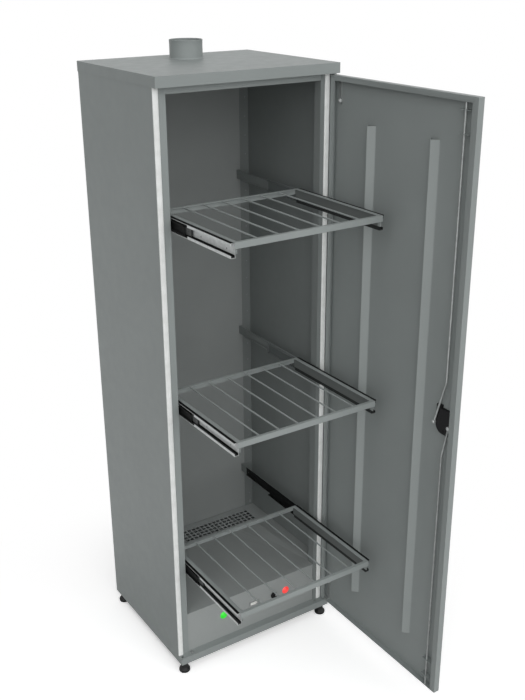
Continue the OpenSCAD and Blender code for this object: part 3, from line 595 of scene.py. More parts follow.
@dataclass(frozen=True)
class RailCoat(PowderCoat):
    """The shelves' coat, with a darker tone painted on the inner face of the right rail as painted shade.
    """

    # Painted shade on the inner face of the right rail.
    painted_shade: str = "#686c6b"
    rail_from: float = 526.0
    behind: float = -279.0
    half: float = 15.5
    below: tuple[float, ...] = (369.6, 935.6, 1501.6)

    def mixed(self, tree: Tree, factor: Socket, other: str) -> Socket:
        """Adds the painted shade tone right of rail_from and behind the front rail, 31 mm down from each
        flange.
        """
        place = spot(tree)
        edge = placed(np.array([self.rail_from, self.behind, 0.0]))
        inner = [add(tree, "ShaderNodeMath", {1: edge[k]}, {0: place.outputs[k]}, operation="GREATER_THAN")
                 for k in (0, 1)]
        bands = []
        for top in self.below:
            middle = placed(np.array([0.0, 0.0, top - self.half]))[2]
            bands.append(add(tree, "ShaderNodeMath", {1: middle, 2: self.half * MM},
                             {0: place.outputs["Z"]}, operation="COMPARE"))
        band = bands[0]
        for here in bands[1:]:
            band = add(tree, "ShaderNodeMath", links={0: band, 1: here}, operation="MAXIMUM")
        both = add(tree, "ShaderNodeMath", links=dict(enumerate(inner)), operation="MULTIPLY")
        shade_mask = add(tree, "ShaderNodeMath", links={0: both, 1: band}, operation="MULTIPLY")
        coat = super().mixed(tree, factor, other)
        return add(tree, "ShaderNodeMix", {7: linear(self.painted_shade)}, {0: shade_mask, 6: coat},
                   data_type="RGBA").outputs[2]


@dataclass(frozen=True)
class Plated(Finish):
    """Zinc plated or passivated steel strip: rolling marks along its length and a spangled tone."""

    marks: Triple = (1.0, 30.0, 1.0)
    dull: str = "#8e9291"

    def paint(self, tree: Tree, shader: Node, place: Socket) -> None:
        """Tone in patches of 14 mm, rolling marks 0.8 mm wide and stretched along the strip."""
        patch = self.noise(tree, place, 14.0, 3.0)
        self.tint(tree, shader, self.spread(tree, patch, 0.0, 0.8), self.dull)
        marks = self.noise(tree, place, 0.8, 2.0, self.marks)
        self.gloss(tree, shader, marks, 0.07, 0.08)
        self.relief(tree, shader, marks, 0.02, 0.5)


@dataclass(frozen=True)
class HalfShaded(Plated):
    """Slide steel whose rear half is painted in the grey that the body's coat shows in shade, as painted
    shade.
    """

    # The body coat's tone in shade, painted on the slide's rear half as painted shade.
    coat: str = "#6b7070"
    coat_from: float = 100.0
    soft: float = 4.0

    def mixed(self, tree: Tree, factor: Socket, other: str) -> Socket:
        """Lays the painted shade tone over the steel's two tones behind coat_from, with a soft edge."""
        start = placed(np.array([0.0, self.coat_from, 0.0]))[1]
        behind = add(tree, "ShaderNodeMapRange", {"From Min": start, "From Max": start + self.soft * MM},
                     {"Value": spot(tree).outputs["Y"]})
        steel = super().mixed(tree, factor, other)
        return add(tree, "ShaderNodeMix", {7: linear(self.coat)}, {0: behind, 6: steel},
                   data_type="RGBA").outputs[2]


@dataclass(frozen=True)
class Moulded(Finish):
    """Injection moulded plastic with a spark eroded grain."""

    grain_mm: float = 0.9
    scuffed: str = "#2b2b2c"

    def paint(self, tree: Tree, shader: Node, place: Socket) -> None:
        """Grain about a millimetre across, drawn coarser than the real 0.2 mm, and light handling marks."""
        wear = self.noise(tree, place, 18.0, 4.0)
        self.tint(tree, shader, self.spread(tree, wear, 0.0, 0.6), self.scuffed)
        self.gloss(tree, shader, wear, 0.05, 0.06)
        self.relief(tree, shader, self.noise(tree, place, self.grain_mm, 1.0), 0.04, 0.7)


@dataclass(frozen=True)
class SealRubber(Finish):
    """White extruded silicone: matt, with die lines along the strip."""

    def paint(self, tree: Tree, shader: Node, place: Socket) -> None:
        """Die lines 1.2 mm apart that run up the strip, and a faint dusty mottle."""
        lines = self.noise(tree, place, 1.2, 1.0, (1.0, 1.0, 400.0))
        dust = self.noise(tree, place, 30.0, 3.0)
        self.tint(tree, shader, self.spread(tree, dust, 0.0, 1.0), "#e2e4e2")
        self.relief(tree, shader, lines, 0.12, 0.6)


@dataclass(frozen=True)
class Lens(Finish):
    """Tinted polycarbonate lens, lit from behind by its lamp."""

    glow: str = "#30ff30"
    power: float = 0.5

    def paint(self, tree: Tree, shader: Node, place: Socket) -> None:
        """A glow that is uneven over 6 mm, as a small lamp behind ribbed plastic gives."""
        shader.inputs["Emission Color"].default_value = linear(self.glow)
        patch = self.noise(tree, place, 6.0, 1.0)
        tree.links.new(self.spread(tree, patch, self.power * 0.8, self.power * 1.2),
                       shader.inputs["Emission Strength"])
        shader.inputs["Coat Weight"].default_value = 0.2
        shader.inputs["Coat Roughness"].default_value = 0.08


@dataclass(frozen=True)
class HeatTinted(Finish):
    """Stainless tube that heat has tinted from straw to blue."""

    def paint(self, tree: Tree, shader: Node, place: Socket) -> None:
        """Tint in bands of 60 mm along the tube, with drawing marks."""
        bands = self.noise(tree, place, 60.0, 2.0, (1.0, 1.0, 1.0))
        self.tint(tree, shader, self.spread(tree, bands, 0.0, 1.0), "#6d5a6e")
        self.relief(tree, shader, self.noise(tree, place, 0.7, 1.0, (40.0, 1.0, 1.0)), 0.02, 0.4)


# Satin grey polyester powder coat on 1.2 mm sheet: soft broad highlights, cool grey.
GREY_COAT = PowderCoat("grey_powder_coat", "body_paint", "#8f9594", 0.46)
# The same coat inside the body, painted a little lighter than outside as painted light on the shaded
# inside.
LIT_INNER_COAT = PowderCoat("lit_inner_powder_coat", "inner_paint", "#959998", 0.5, cloud="#919594")
# The same coat on the right panel, painted darker as painted shade, because its inside lies deep in the
# body.
SHADED_COAT = PowderCoat("shaded_powder_coat", "body_paint", "#7f8483", 0.5, cloud="#7c8180")
# The same coat on the door's ribs, painted lighter as painted light on their sloped faces, which catch the
# light.
LIT_RIB_COAT = PowderCoat("lit_rib_powder_coat", "body_paint", "#9aa09f", 0.44, cloud="#979d9c")
# The same coat on the door's inner face, painted a little lighter as painted light, which lifts a face that
# turns away from the light.
LIT_DOOR_COAT = PowderCoat("lit_door_powder_coat", "body_paint", "#939998", 0.46, cloud="#909695")
# The same coat on the heater box, painted lighter as painted light on its front, which faces the light.
LIT_HEATER_COAT = PowderCoat("lit_heater_powder_coat", "inner_paint", "#9b9f9e", 0.48, cloud="#979b9a")
# The same coat on the welded shelves, painted a little lighter than the body's as painted light on the
# rods, with painted shade on the inner face of the right rail.
SHELF_COAT = RailCoat("shelf_powder_coat", "shelf_paint", "#989e9d", 0.44, cloud="#939998")
# Blue passivated zinc on cold rolled strip: bright, slightly patchy.
ZINC = Plated("zinc_plated_strip", "zinc_steel", "#d2d5d5", 0.5, metallic=0.3, dull="#bcc0bf")
# Zinc on small turned and drawn parts: rods, pins and screws.
ZINC_ROD = Plated("zinc_plated_rod", "zinc_steel", "#a9adac", 0.4, metallic=0.5, marks=(1.0, 1.0, 30.0))
# Dull grey zinc on the screws in the slides, darker than the strip, so that the heads also give the holes
# they fill a painted shade.
SCREW_STEEL = Plated("dull_zinc_screw_and_hole_shade", "zinc_steel", "#7d8180", 0.5, metallic=0.4, marks=(1.0, 1.0, 1.0))
# Black passivated slide steel: near black, half matt.
BLACK_STEEL = Plated("black_passivated_steel", "black_slide", "#101111", 0.6, specular=0.15, dull="#151616")
# The middle slides of the middle and top shelves: black in front, and grey behind in the tone of the body's
# coat in shade, as painted shade.
HALF_SHADED_STEEL = HalfShaded("half_shaded_slide_steel", "black_slide", "#101111", 0.6,
                          specular=0.15, dull="#151616")
# The zinc plated channels on the right, painted dark grey as painted shade, because the body shades them.
SHADED_STEEL = Plated("shaded_slide_steel", "black_slide", "#2c2e2e", 0.6, specular=0.15, dull="#333535")
# Mill finish stainless on the fan motor's can.
MOTOR_STEEL = Plated("motor_can_steel", "zinc_steel", "#9fa2a3", 0.38, metallic=0.8, marks=(1.0, 1.0, 20.0))
# Glass filled nylon of the lock case and the handle: black, satin.
BLACK_NYLON = Moulded("black_glass_filled_nylon", "black_plastic", "#151516", 0.5, specular=0.2,
                      scuffed="#1b1b1c")
# Dark grey acetal of the slides' ball cages.
CAGE_ACETAL = Moulded("grey_acetal_cage", "black_plastic", "#2b2d2d", 0.5, scuffed="#363838")
# Black polyethylene of the levelling feet.
FOOT_PLASTIC = Moulded("black_polyethylene", "foot_plastic", "#121313", 0.5, specular=0.3, grain_mm=1.2,
                       scuffed="#1c1d1d")
# Grey polyamide of the switch's frame, near the colour of the coat around it.
GREY_NYLON = Moulded("grey_polyamide", "white_plastic", "#8b8f8e", 0.45, scuffed="#858988")
# White polyamide of the switch and the terminals.
WHITE_NYLON = Moulded("white_polyamide", "white_plastic", "#ecece8", 0.35, scuffed="#dededa")
# White silicone of the door seals.
WHITE_SILICONE = SealRubber("white_silicone", "white_seal", "#f0f2f1", 0.62)
# Green and red polycarbonate of the signal lamps.
GREEN_LENS = Lens("green_lamp_polycarbonate", "green_lens", "#17991a", 0.3, ior=1.58, glow="#1ade1a",
                  power=0.72)
RED_LENS = Lens("red_lamp_polycarbonate", "red_lens", "#e0403c", 0.3, ior=1.58, glow="#ff403c",
                power=0.55)
# Stainless sheath of the tube heater.
HEATER_SHEATH = HeatTinted("heat_tinted_stainless", "zinc_steel", "#a39a8a", 0.35, metallic=0.9)


# ---------------------------------------------------------------- sub-assemblies


@dataclass
class Shell(Assembly):
    """Body of the cabinet: panels, roof, base, spigot and door seals."""

    height: float = 1884.0
    front_face: float = 24.0
    spigot_at: Pair = (300.0, 372.0)
    spigot_r: float = 50.0
    wall: float = 1.2
    flare: float = 2.4
    roll_r: float = 1.3
    roll_z: float = 53.6
    seals: tuple[tuple[str, float], ...] = (("left_door_seal", 2.0), ("right_door_seal", 563.5))
    seal_half: float = 8.5
    seal_z: Pair = (25.2, 1853.8)

    def panels(self) -> None:
        """Dresses the folded sheets with rounded folds."""
        self.dress(
            ("left_side_panel", GREY_COAT, "cabinet", 0.55),
            ("right_side_panel", SHADED_COAT, "cabinet", 0.55),
            ("roof_cap", GREY_COAT, "cabinet", 0.58), ("base_tray", GREY_COAT, "cabinet", 0.55),
            ("front_header", GREY_COAT, "cabinet", 0.55), ("heater_cover", LIT_HEATER_COAT, "cabinet", 0.4),
            ("back_panel", LIT_INNER_COAT, "cabinet", 0.3))

    def spigot(self) -> None:
        """The exhaust tube: a foot that flares out, a straight wall and a rolled rim, as a turned loop."""
        r, wall, roll = self.spigot_r, self.wall, self.roll_r
        t = np.linspace(0, math.pi / 2, 6)
        flare = [(r + self.flare * (1 - math.sin(a)), 0.8 + 4.0 * (1 - math.cos(a))) for a in t]
        rim = [(r - wall / 2 + roll * math.cos(a), self.roll_z + roll * math.sin(a))
               for a in np.linspace(-0.6, math.pi + 0.3, 9)]
        profile = [(r - wall, -7.2), (r, -7.2), (r, -0.1), (r + self.flare, 0.0), *flare, (r, 40.0), *rim]
        top = [(q, z + self.height) for q, z in profile]
        turned(top, Axis.Z, self.spigot_at, 96, loop=True).build(
            "spigot_tube", GREY_COAT, "cabinet", ["exhaust_spigot"])

    def seal(self, node: str, left: float) -> None:
        """One door seal: a strip with a front y = front face - 1 - 3 (1 - |s|^3)^(1/2), s from -1 to 1."""
        s = np.linspace(-1.0, 1.0, 25)
        arch = self.front_face - 1.0 - 3.0 * np.sqrt(1 - np.abs(s) ** 3)
        half, back = self.seal_half, self.front_face
        outline = np.concatenate([np.stack([left + half + half * s, arch], 1),
                                  [[left + 2 * half, back], [left, back]]])
        pulled(outline, Axis.Z, *self.seal_z).build(node + "_strip", WHITE_SILICONE, "cabinet", [node])

    def build(self) -> None:
        """Builds all pieces of the shell."""
        self.panels()
        self.spigot()
        for node, left in self.seals:
            self.seal(node, left)


@dataclass
class Feet:
    """The four levelling feet with their studs."""

    width: float = 600.0
    depth: float = 500.0
    inset: float = 21.0
    top: float = 0.0
    floor: float = -40.0

    def one(self, name: str, x: float, y: float) -> None:
        """A moulded pad that narrows to a six-sided collar.

        The radius at angle t is a circle's near the floor and a hexagon's, cos 30 / cos(t mod 60 - 30),
        at the collar, mixed smoothly over the height.
        """
        prof = np.array([(0.001, 0), (15.6, 0), (17.6, 0.7), (18.5, 2.4), (18.5, 8.2), (18.0, 10.2),
                         (16.6, 12.0), (14.4, 13.6), (13.0, 15.4), (12.2, 18.0), (11.8, 21.5), (11.6, 24.0),
                         (11.6, 38.6), (11.0, 39.6), (0.001, 39.9)])
        t = np.linspace(0, TURN, 48, endpoint=False)[None, :]
        six = math.cos(math.pi / 6) / np.cos(t % (math.pi / 3) - math.pi / 6)
        share = np.clip((prof[:, 1:] - 20.0) / 5.0, 0, 1)
        r = prof[:, :1] * (1 - share + share * (0.35 + 0.65 * six))
        up = prof[:, 1:] + self.floor + 0 * t
        pad = Surface().grid(along(Axis.Z, x + r * np.cos(t), y + r * np.sin(t), up))
        pad.build(name + "_pad", FOOT_PLASTIC, "cabinet", [name])
        stud = thread(5.0, 1.5, self.top - 0.2, 15.6, (x, y))
        stud.build(name + "_stud", ZINC_ROD, "cabinet")

    def build(self) -> None:
        """Builds the feet at the four corners of the base."""
        for end, y in (("front", self.inset), ("back", self.depth - self.inset)):
            for side, x in (("left", self.inset), ("right", self.width - self.inset)):
                self.one(f"{end}_{side}_foot", x, y)


@dataclass
class Controls(Assembly):
    """Lamps, knob and switch on the heater box's front."""

    panel_y: float = 26.2
    height: float = 111.0
    knob_x: float = 382.0

    def lamp(self, node: str, x: float, finish: Finish) -> None:
        """A domed lens with fine rings: depth = 5.6 (1 - (r / 13.5)^2.6) + 0.12 cos(2 pi r / 1.5)."""
        r = np.linspace(0.0, 12.6, 40)
        depth = 5.6 * (1 - (r / 13.5) ** 2.6) + 0.12 * np.cos(TURN * r / 1.5)
        y = self.panel_y
        lens = [(a, y - b) for a, b in zip(r, depth)]
        lens += [(13.3, y - 0.9), (13.5, y - 0.4), (13.5, y), (0.0, y)]
        turned(lens, Axis.Y, (x, self.height)).build(node + "_lens", finish, "cabinet", [node], 60.0)
        back = [(0.0, y), (10.8, y), (10.8, y + 1.2), (13.4, y + 1.2), (13.4, y + 6.2), (10.9, y + 6.2),
                (10.8, y + 24.0), (9.6, y + 25.2), (0.0, y + 25.2)]
        turned(back, Axis.Y, (x, self.height), 24).build(node + "_holder", BLACK_NYLON, "cabinet")

    def knob(self) -> None:
        """A pointer knob: turned skirt, stem, and a grip with rounded edges and a white line."""
        x, z, y = self.knob_x, self.height, self.panel_y - 0.3
        skirt = [(0.0, y), (11.2, y), (12.0, y - 0.8), (12.0, y - 3.6), (11.4, y - 5.2), (9.6, y - 6.0),
                 (0.0, y - 6.2)]
        knob = turned(skirt, Axis.Y, (x, z))
        grip = [(x - 4.6, z - 9.6, 3.0), (x + 4.6, z - 9.6, 3.0), (x + 4.6, z + 9.6, 3.0),
                (x, z + 18.0, 1.2), (x - 4.6, z + 9.6, 3.0)]
        spindle = [(0.0, y - 1.0), (3.0, y - 1.0), (3.0, self.panel_y + 12.2), (0.0, self.panel_y + 12.2)]
        knob.join(pillow(grip, Axis.Y, y - 5.8, y - 15.0, 2.0)).join(turned(spindle, Axis.Y, (x, z), 24))
        knob.build("pointer_knob", BLACK_NYLON, "knob", ["control_knob"])
        line = [(x - 0.7, z + 3.0, 0.5), (x + 0.7, z + 3.0, 0.5),
                (x + 0.5, z + 13.0, 0.4), (x - 0.5, z + 13.0, 0.4)]
        pillow(line, Axis.Y, y - 14.6, y - 15.2, 0.15, 3).build("pointer_line", WHITE_NYLON, "knob")

    def build(self) -> None:
        """Builds the controls and dresses the parts behind the panel."""
        for node, x, finish in (("green_lamp", 180.0, GREEN_LENS), ("red_lamp", 432.0, RED_LENS)):
            self.lamp(node, x, finish)
        self.knob()
        self.dress(
            ("switch_frame", GREY_NYLON, "cabinet", 0.7, 3),
            ("switch_rocker", WHITE_NYLON, "rocker", 0.6, 3),
            ("thermostat", BLACK_NYLON, "cabinet", 1.2, 3))


@dataclass
class HeaterWorks(Assembly):
    """Fan, heating element and wiring inside the heater box."""

    fan_at: Pair = (190.0, 200.0)
    rings: tuple[float, ...] = (14.0, 26.0, 38.0, 50.0)
    ring_z: float = 22.6
    spoke: float = 58.0
    spoke_z: float = 20.9
    wire_r: float = 0.9

    def guard(self) -> None:
        """A finger guard under the fan: two spokes and rings, each a wire's circle carried around one."""
        x, y = self.fan_at
        a = np.linspace(0, TURN, 72, endpoint=False)[:, None]
        wire = circle(self.wire_r, 8)
        guard = Surface()
        for ring in self.rings:
            r = ring + wire[None, :, 0]
            z = self.ring_z + wire[None, :, 1] + 0 * a
            guard.grid(along(Axis.Z, x + r * np.cos(a), y + r * np.sin(a), z), loop=True)
        s = np.array([[-self.spoke], [self.spoke]])
        for d in (math.pi * 0.25, math.pi * 0.75):
            guard.grid(np.stack([x + s * math.cos(d) - wire[None, :, 0] * math.sin(d),
                                 y + s * math.sin(d) + wire[None, :, 0] * math.cos(d),
                                 self.spoke_z + wire[None, :, 1] + 0 * s], -1))
        guard.build("fan_guard", ZINC_ROD, "cabinet")

    def build(self) -> None:
        """Dresses the works and adds the guard."""
        self.dress(
            ("fan_housing", BLACK_NYLON, "cabinet", 0.6), ("fan_impeller", BLACK_NYLON, "fan", 0.3),
            ("fan_motor", MOTOR_STEEL, "cabinet", 0.8), ("heating_element", HEATER_SHEATH, "cabinet", 0.4),
            ("element_bracket", ZINC, "cabinet", 0.4), ("terminal_block", WHITE_NYLON, "cabinet", 0.5),
            ("cable_gland", BLACK_NYLON, "cabinet", 0.8, 3))
        self.guard()


@dataclass
class Slides(Assembly):
    """Telescopic slides: fixed and middle members, and a zinc plated channel along each shelf. The bottom
    shelf's members are black; the middle and top shelves' fixed members and the rear of their middle
    members take painted shade in the coat's grey, and the right channels are painted dark as shade.
    """

    tops: dict[str, float] = field(default_factory=lambda: dict(zip(LEVELS, TOPS)))
    post: dict[Side, float] = field(default_factory=lambda: {Side.LEFT: 41.0, Side.RIGHT: 549.0})
    channel_y: Pair = (-284.0, 116.0)
    mid_front: float = -42.0
    drop: float = 23.3
    half: float = 20.0
    web: float = 17.9
    cage_at: Pair = (10.2, 16.2)
    cage_half: float = 11.0
    balls: tuple[float, ...] = (-6.5, 0.0, 6.5)
    screw_r: float = 2.4
    screw_share: tuple[float, ...] = (0.1, 0.43, 0.9)
    # The middle and top shelves' fixed members take the shaded coat, as painted shade like the wall they
    # lie on.
    seen_behind: dict[str, "Finish"] = field(default_factory=lambda: {
        "bottom": BLACK_STEEL, "middle": SHADED_COAT, "top": SHADED_COAT})
    middle: dict[str, "Finish"] = field(default_factory=lambda: {
        "bottom": BLACK_STEEL, "middle": HALF_SHADED_STEEL, "top": HALF_SHADED_STEEL})
    channel: dict[Side, "Finish"] = field(default_factory=lambda: {
        Side.LEFT: ZINC, Side.RIGHT: SHADED_STEEL})

    def strip(self, side: Side, height: float, low: Pair, high: Pair,
              y: Pair) -> Surface:
        """A flat bar along a slide.

        Args:
            side: Side of the body.
            height: Height of the slide's middle line.
            low: Offset from the post and height from the middle line of one corner.
            high: The same of the opposite corner.
            y: Front and back end.

        Returns:
            The bar, with corners rounded by 0.3 mm.
        """
        a, b = sorted(self.across(side, np.array([low[0], high[0]])).tolist())
        bottom, top = height + low[1], height + high[1]
        outline = rounded([(a, bottom, 0.3), (b, bottom, 0.3), (b, top, 0.3), (a, top, 0.3)], steps=3)
        return pulled(outline, Axis.Y, *y)

    def across(self, side: Side, offset: np.ndarray) -> np.ndarray:
        """Turns a distance from the post into x, to the right on the left side and back on the right."""
        return self.post[side] - side.sign * offset

    def track_and_shade_strips(self, level: str, side: Side) -> None:
        """Black strips along the channel, partly the blackened ball track and partly painted shade: one in
        the lower part of the channel, in the shade of its groove, and one on its top flange, in the shade
        under the shelf's flange.

        On the right a further black strip stands beside the shelf's flange, almost as high, as painted
        shade.
        """
        mid = self.tops[level] - self.drop
        low = self.strip(side, mid, (self.web - 0.5, -18.7), (self.web - 0.02, -11.6), self.channel_y)
        top = self.strip(side, mid, (5.3, self.half + 0.02), (19.0, self.half + 0.5),
                         (self.channel_y[0] + 1.5, self.channel_y[1]))
        if side is Side.RIGHT:
            top.join(self.strip(side, mid, (4.0, self.half + 0.3), (12.5, self.half + 3.0), self.channel_y))
        low.join(top).build(f"{level}_{side.value}_tracks", BLACK_STEEL, f"{level}_shelf")

    def floor_strip(self, level: str, side: Side) -> None:
        """A dark grey strip on the channel's lower flange, between the web and the lip."""
        mid = self.tops[level] - self.drop
        self.strip(side, mid, (6.4, -18.78), (17.3, -18.6), self.channel_y).build(
            f"{level}_{side.value}_lower_flange_strip", CAGE_ACETAL, f"{level}_shelf")

    def cage(self, level: str, side: Side) -> None:
        """The end of the ball cage, which shows before the middle member, with three ball windows."""
        mid = self.tops[level] - self.drop
        a, b = sorted(self.across(side, np.array(self.cage_at)).tolist())
        low, high = mid - self.cage_half, mid + self.cage_half
        corners = [(a, low, 1.2), (b, low, 1.2), (b, high, 1.2), (a, high, 1.2)]
        cage = pillow(corners, Axis.Y, self.mid_front - 30.0, self.mid_front + 2.0, 1.0, 4, both=True)
        near = float(self.across(side, np.array(10.0)))
        out, back = near - side.sign * 0.6, near + side.sign * 0.3
        rib = [(0.0, out), (2.4, out), (2.0, back), (0.0, back)]
        for z in self.balls:
            cage.join(turned(rib, Axis.X, (self.mid_front - 15.0, mid + z), 16))
        cage.build(f"{level}_{side.value}_cage_end", CAGE_ACETAL, f"{level}_slides")

    def screws(self, level: str, side: Side) -> None:
        """Dull screws in the channel's holes, with domed heads 0.9 mm high."""
        mid = self.tops[level] - self.drop - 3.0
        x0 = float(self.across(side, np.array(self.web + 0.3)))
        length = self.channel_y[1] - self.channel_y[0]
        screws = Surface()
        for share in self.screw_share:
            end = x0 - side.sign * 0.8
            head = dome(self.screw_r, x0, side.sign * 0.9) + [(2.0, x0), (2.0, end), (0.0, end)]
            screws.join(turned(head, Axis.X, (self.channel_y[0] + share * length, mid), 20))
        screws.build(f"{level}_{side.value}_slide_screws", SCREW_STEEL, f"{level}_shelf")

    def build(self) -> None:
        """Builds the six slides and their rear brackets."""
        for level in LEVELS:
            self.dress((f"{level}_mid_slides", self.middle[level], f"{level}_slides", 0.25))
            for side in Side:
                stem = f"{level}_{side.value}"
                self.dress((f"{stem}_outer_slide", self.seen_behind[level], "cabinet", 0.35))
                self.dress((f"{stem}_inner_slide", self.channel[side], f"{level}_shelf", 0.3))
                self.track_and_shade_strips(level, side)
                self.floor_strip(level, side)
                self.cage(level, side)
                self.screws(level, side)
        for side in Side:
            self.dress((f"{side.value}_slide_brackets", SHADED_COAT, "cabinet", 0.4))


@dataclass
class Shelves(Assembly):
    """The three welded shelves."""

    left: float = 53.7
    right: float = 536.3
    first_rod: float = 77.0
    last_rod: float = 73.0
    front_flange_y: float = -281.0
    rear_flange_y: float = 109.0
    rods: int = 6
    bead: Triple = (4.2, 2.6, 1.9)
    bead_drop: float = 3.2

    def welds(self, level: str, top: float) -> None:
        """Weld beads where the rods meet the rails: flat half balls, a grid of turn and height angles."""
        xs = np.linspace(self.left + self.first_rod, self.right - self.last_rod, self.rods)
        t = np.linspace(0, TURN, 16, endpoint=False)[None, :]
        e = np.linspace(-math.pi / 2, math.pi / 2, 8)[:, None]
        along_x, along_y, up = self.bead
        z = top - self.bead_drop + up * np.sin(e) + 0 * t
        beads = Surface()
        for x in xs:
            for y in (self.front_flange_y, self.rear_flange_y):
                beads.grid(np.stack([x + along_x * np.cos(e) * np.cos(t),
                                     y + along_y * np.cos(e) * np.sin(t), z], -1))
        beads.build(f"{level}_shelf_welds", SHELF_COAT, f"{level}_shelf")

    def build(self) -> None:
        """Dresses the frames with their rods and adds the beads."""
        for level, top in zip(LEVELS, TOPS):
            self.dress((f"{level}_shelf", SHELF_COAT, f"{level}_shelf", 0.65))
            self.welds(level, top)


@dataclass
class DoorLeaf(Assembly):
    """Door panel with ribs, rod guides and hinges."""

    skin: float = 18.8
    rib_depth: float = 18.5
    rib_z: Pair = (154.5, 1724.5)
    ribs: tuple[tuple[str, float], ...] = (("hinge_side_rib", 171.0), ("lock_side_rib", 432.0))
    hinge_screws: tuple[Pair, ...] = ((25.0, 101.5), (25.0, 1777.5))
    sheet: float = 1.2

    def rib(self, node: str, at: float) -> None:
        """An angle with a softly folded ridge, welded to the skin by its two edges.

        Its outline is the middle line of two faces at 45 degrees, rounded at the ridge by 2.4 mm.
        """
        deep = self.rib_depth - self.sheet / math.sqrt(2)
        line = [(at - deep, self.skin), (at, self.skin - deep), (at + deep, self.skin)]
        outline = folded(line, self.sheet, 2.4, 7)
        outline[:, 1] = np.minimum(outline[:, 1], self.skin + 0.4)
        angle = pulled(outline, Axis.Z, *self.rib_z).moved(on_door)
        angle.build(node + "_angle", LIT_RIB_COAT, "door", [node])
        weld = Surface()
        for foot in (-self.rib_depth, self.rib_depth):
            bead = rounded([(at + foot, self.skin - 1.5, 0.9), (at + foot + 1.6, self.skin + 0.3, 0.2),
                            (at + foot - 1.6, self.skin + 0.3, 0.2)], steps=4)
            weld.join(pulled(bead, Axis.Z, self.rib_z[0] + 4.0, self.rib_z[1] - 4.0))
        weld.moved(on_door).build(node + "_seams", LIT_DOOR_COAT, "door")

    def screw(self, surface: Surface, at: float, z: float) -> None:
        """A cross recessed head: the dome's height less 1.1 mm where |x| or |y| is small, within 2.8 mm."""
        r = np.linspace(0.0, 6.0, 25)[:, None]
        t = np.linspace(0, TURN, 64, endpoint=False)[None, :]
        x, y = r * np.cos(t), r * np.sin(t)
        height = 3.0 * np.sqrt(np.clip(1 - (r / 6.2) ** 2, 0, 1)) + 0 * t
        arm = np.minimum(np.abs(x), np.abs(y))
        cut = np.clip((0.9 - arm) / 0.3, 0, 1) * np.clip((2.8 - r) / 0.4, 0, 1)
        seat = self.skin - 2.0
        face = np.stack([at + x, seat - height + 1.1 * cut, z + y], -1)
        rim = np.stack([at + x[-1:], np.full_like(x[-1:], seat), z + y[-1:]], -1)
        surface.grid(np.concatenate([face, rim]))

    def build(self) -> None:
        """Builds the leaf."""
        self.dress(("door_panel", LIT_DOOR_COAT, "door", 0.58))
        for node, at in self.ribs:
            self.rib(node, at)
        self.dress(
            ("rod_guides", GREY_COAT, "door", 0.4), ("upper_hinge", ZINC_ROD, "door", 0.5),
            ("lower_hinge", ZINC_ROD, "door", 0.5))
        screws = Surface()
        for u, z in self.hinge_screws:
            self.screw(screws, u, z)
        screws.moved(on_door).build("hinge_screw_heads", ZINC, "door", ["hinge_screws"])


@dataclass
class Lock(Assembly):
    """Lock case, gear, rods and outer handle."""

    at: float = 540.0
    height: float = 939.5
    pin_off: float = 29.5
    screws: tuple[Pair, ...] = ((-17.0, 45.0), (6.0, -19.0))

    def rivets(self) -> None:
        """Bright rivet heads on the rods' eyes, flat domes turned about the pins."""
        for body, u in (("upper_rod", self.at - self.pin_off), ("lower_rod", self.at + self.pin_off)):
            head = dome(4.2, 2.0, -1.4) + [(0.0, 2.1)]
            turned(head, Axis.Y, (u, self.height), 24).moved(on_door).build(f"{body}_rivet", ZINC, body)

    def case_screws(self) -> None:
        """Two countersunk screws in the lock case's inner face."""
        screws = Surface()
        for u, z in self.screws:
            head = dome(3.4, 8.5, -1.1, 6) + [(0.0, 8.6)]
            screws.join(turned(head, Axis.Y, (self.at + u, self.height + z), 20))
        screws.moved(on_door).build("lock_case_screws", BLACK_STEEL, "door")

    def build(self) -> None:
        """Builds the lock."""
        self.dress(
            ("lock_housing", BLACK_NYLON, "door", 1.2, 3), ("lock_pinion", ZINC_ROD, "handle", 0.1),
            ("door_handle", BLACK_NYLON, "handle", 2.2, 4), ("lock_cylinder", ZINC, "handle", 0.3),
            ("upper_lock_rod", ZINC_ROD, "upper_rod", 0.3), ("lower_lock_rod", ZINC_ROD, "lower_rod", 0.3))
        self.rivets()
        self.case_screws()


# ---------------------------------------------------------------- studio


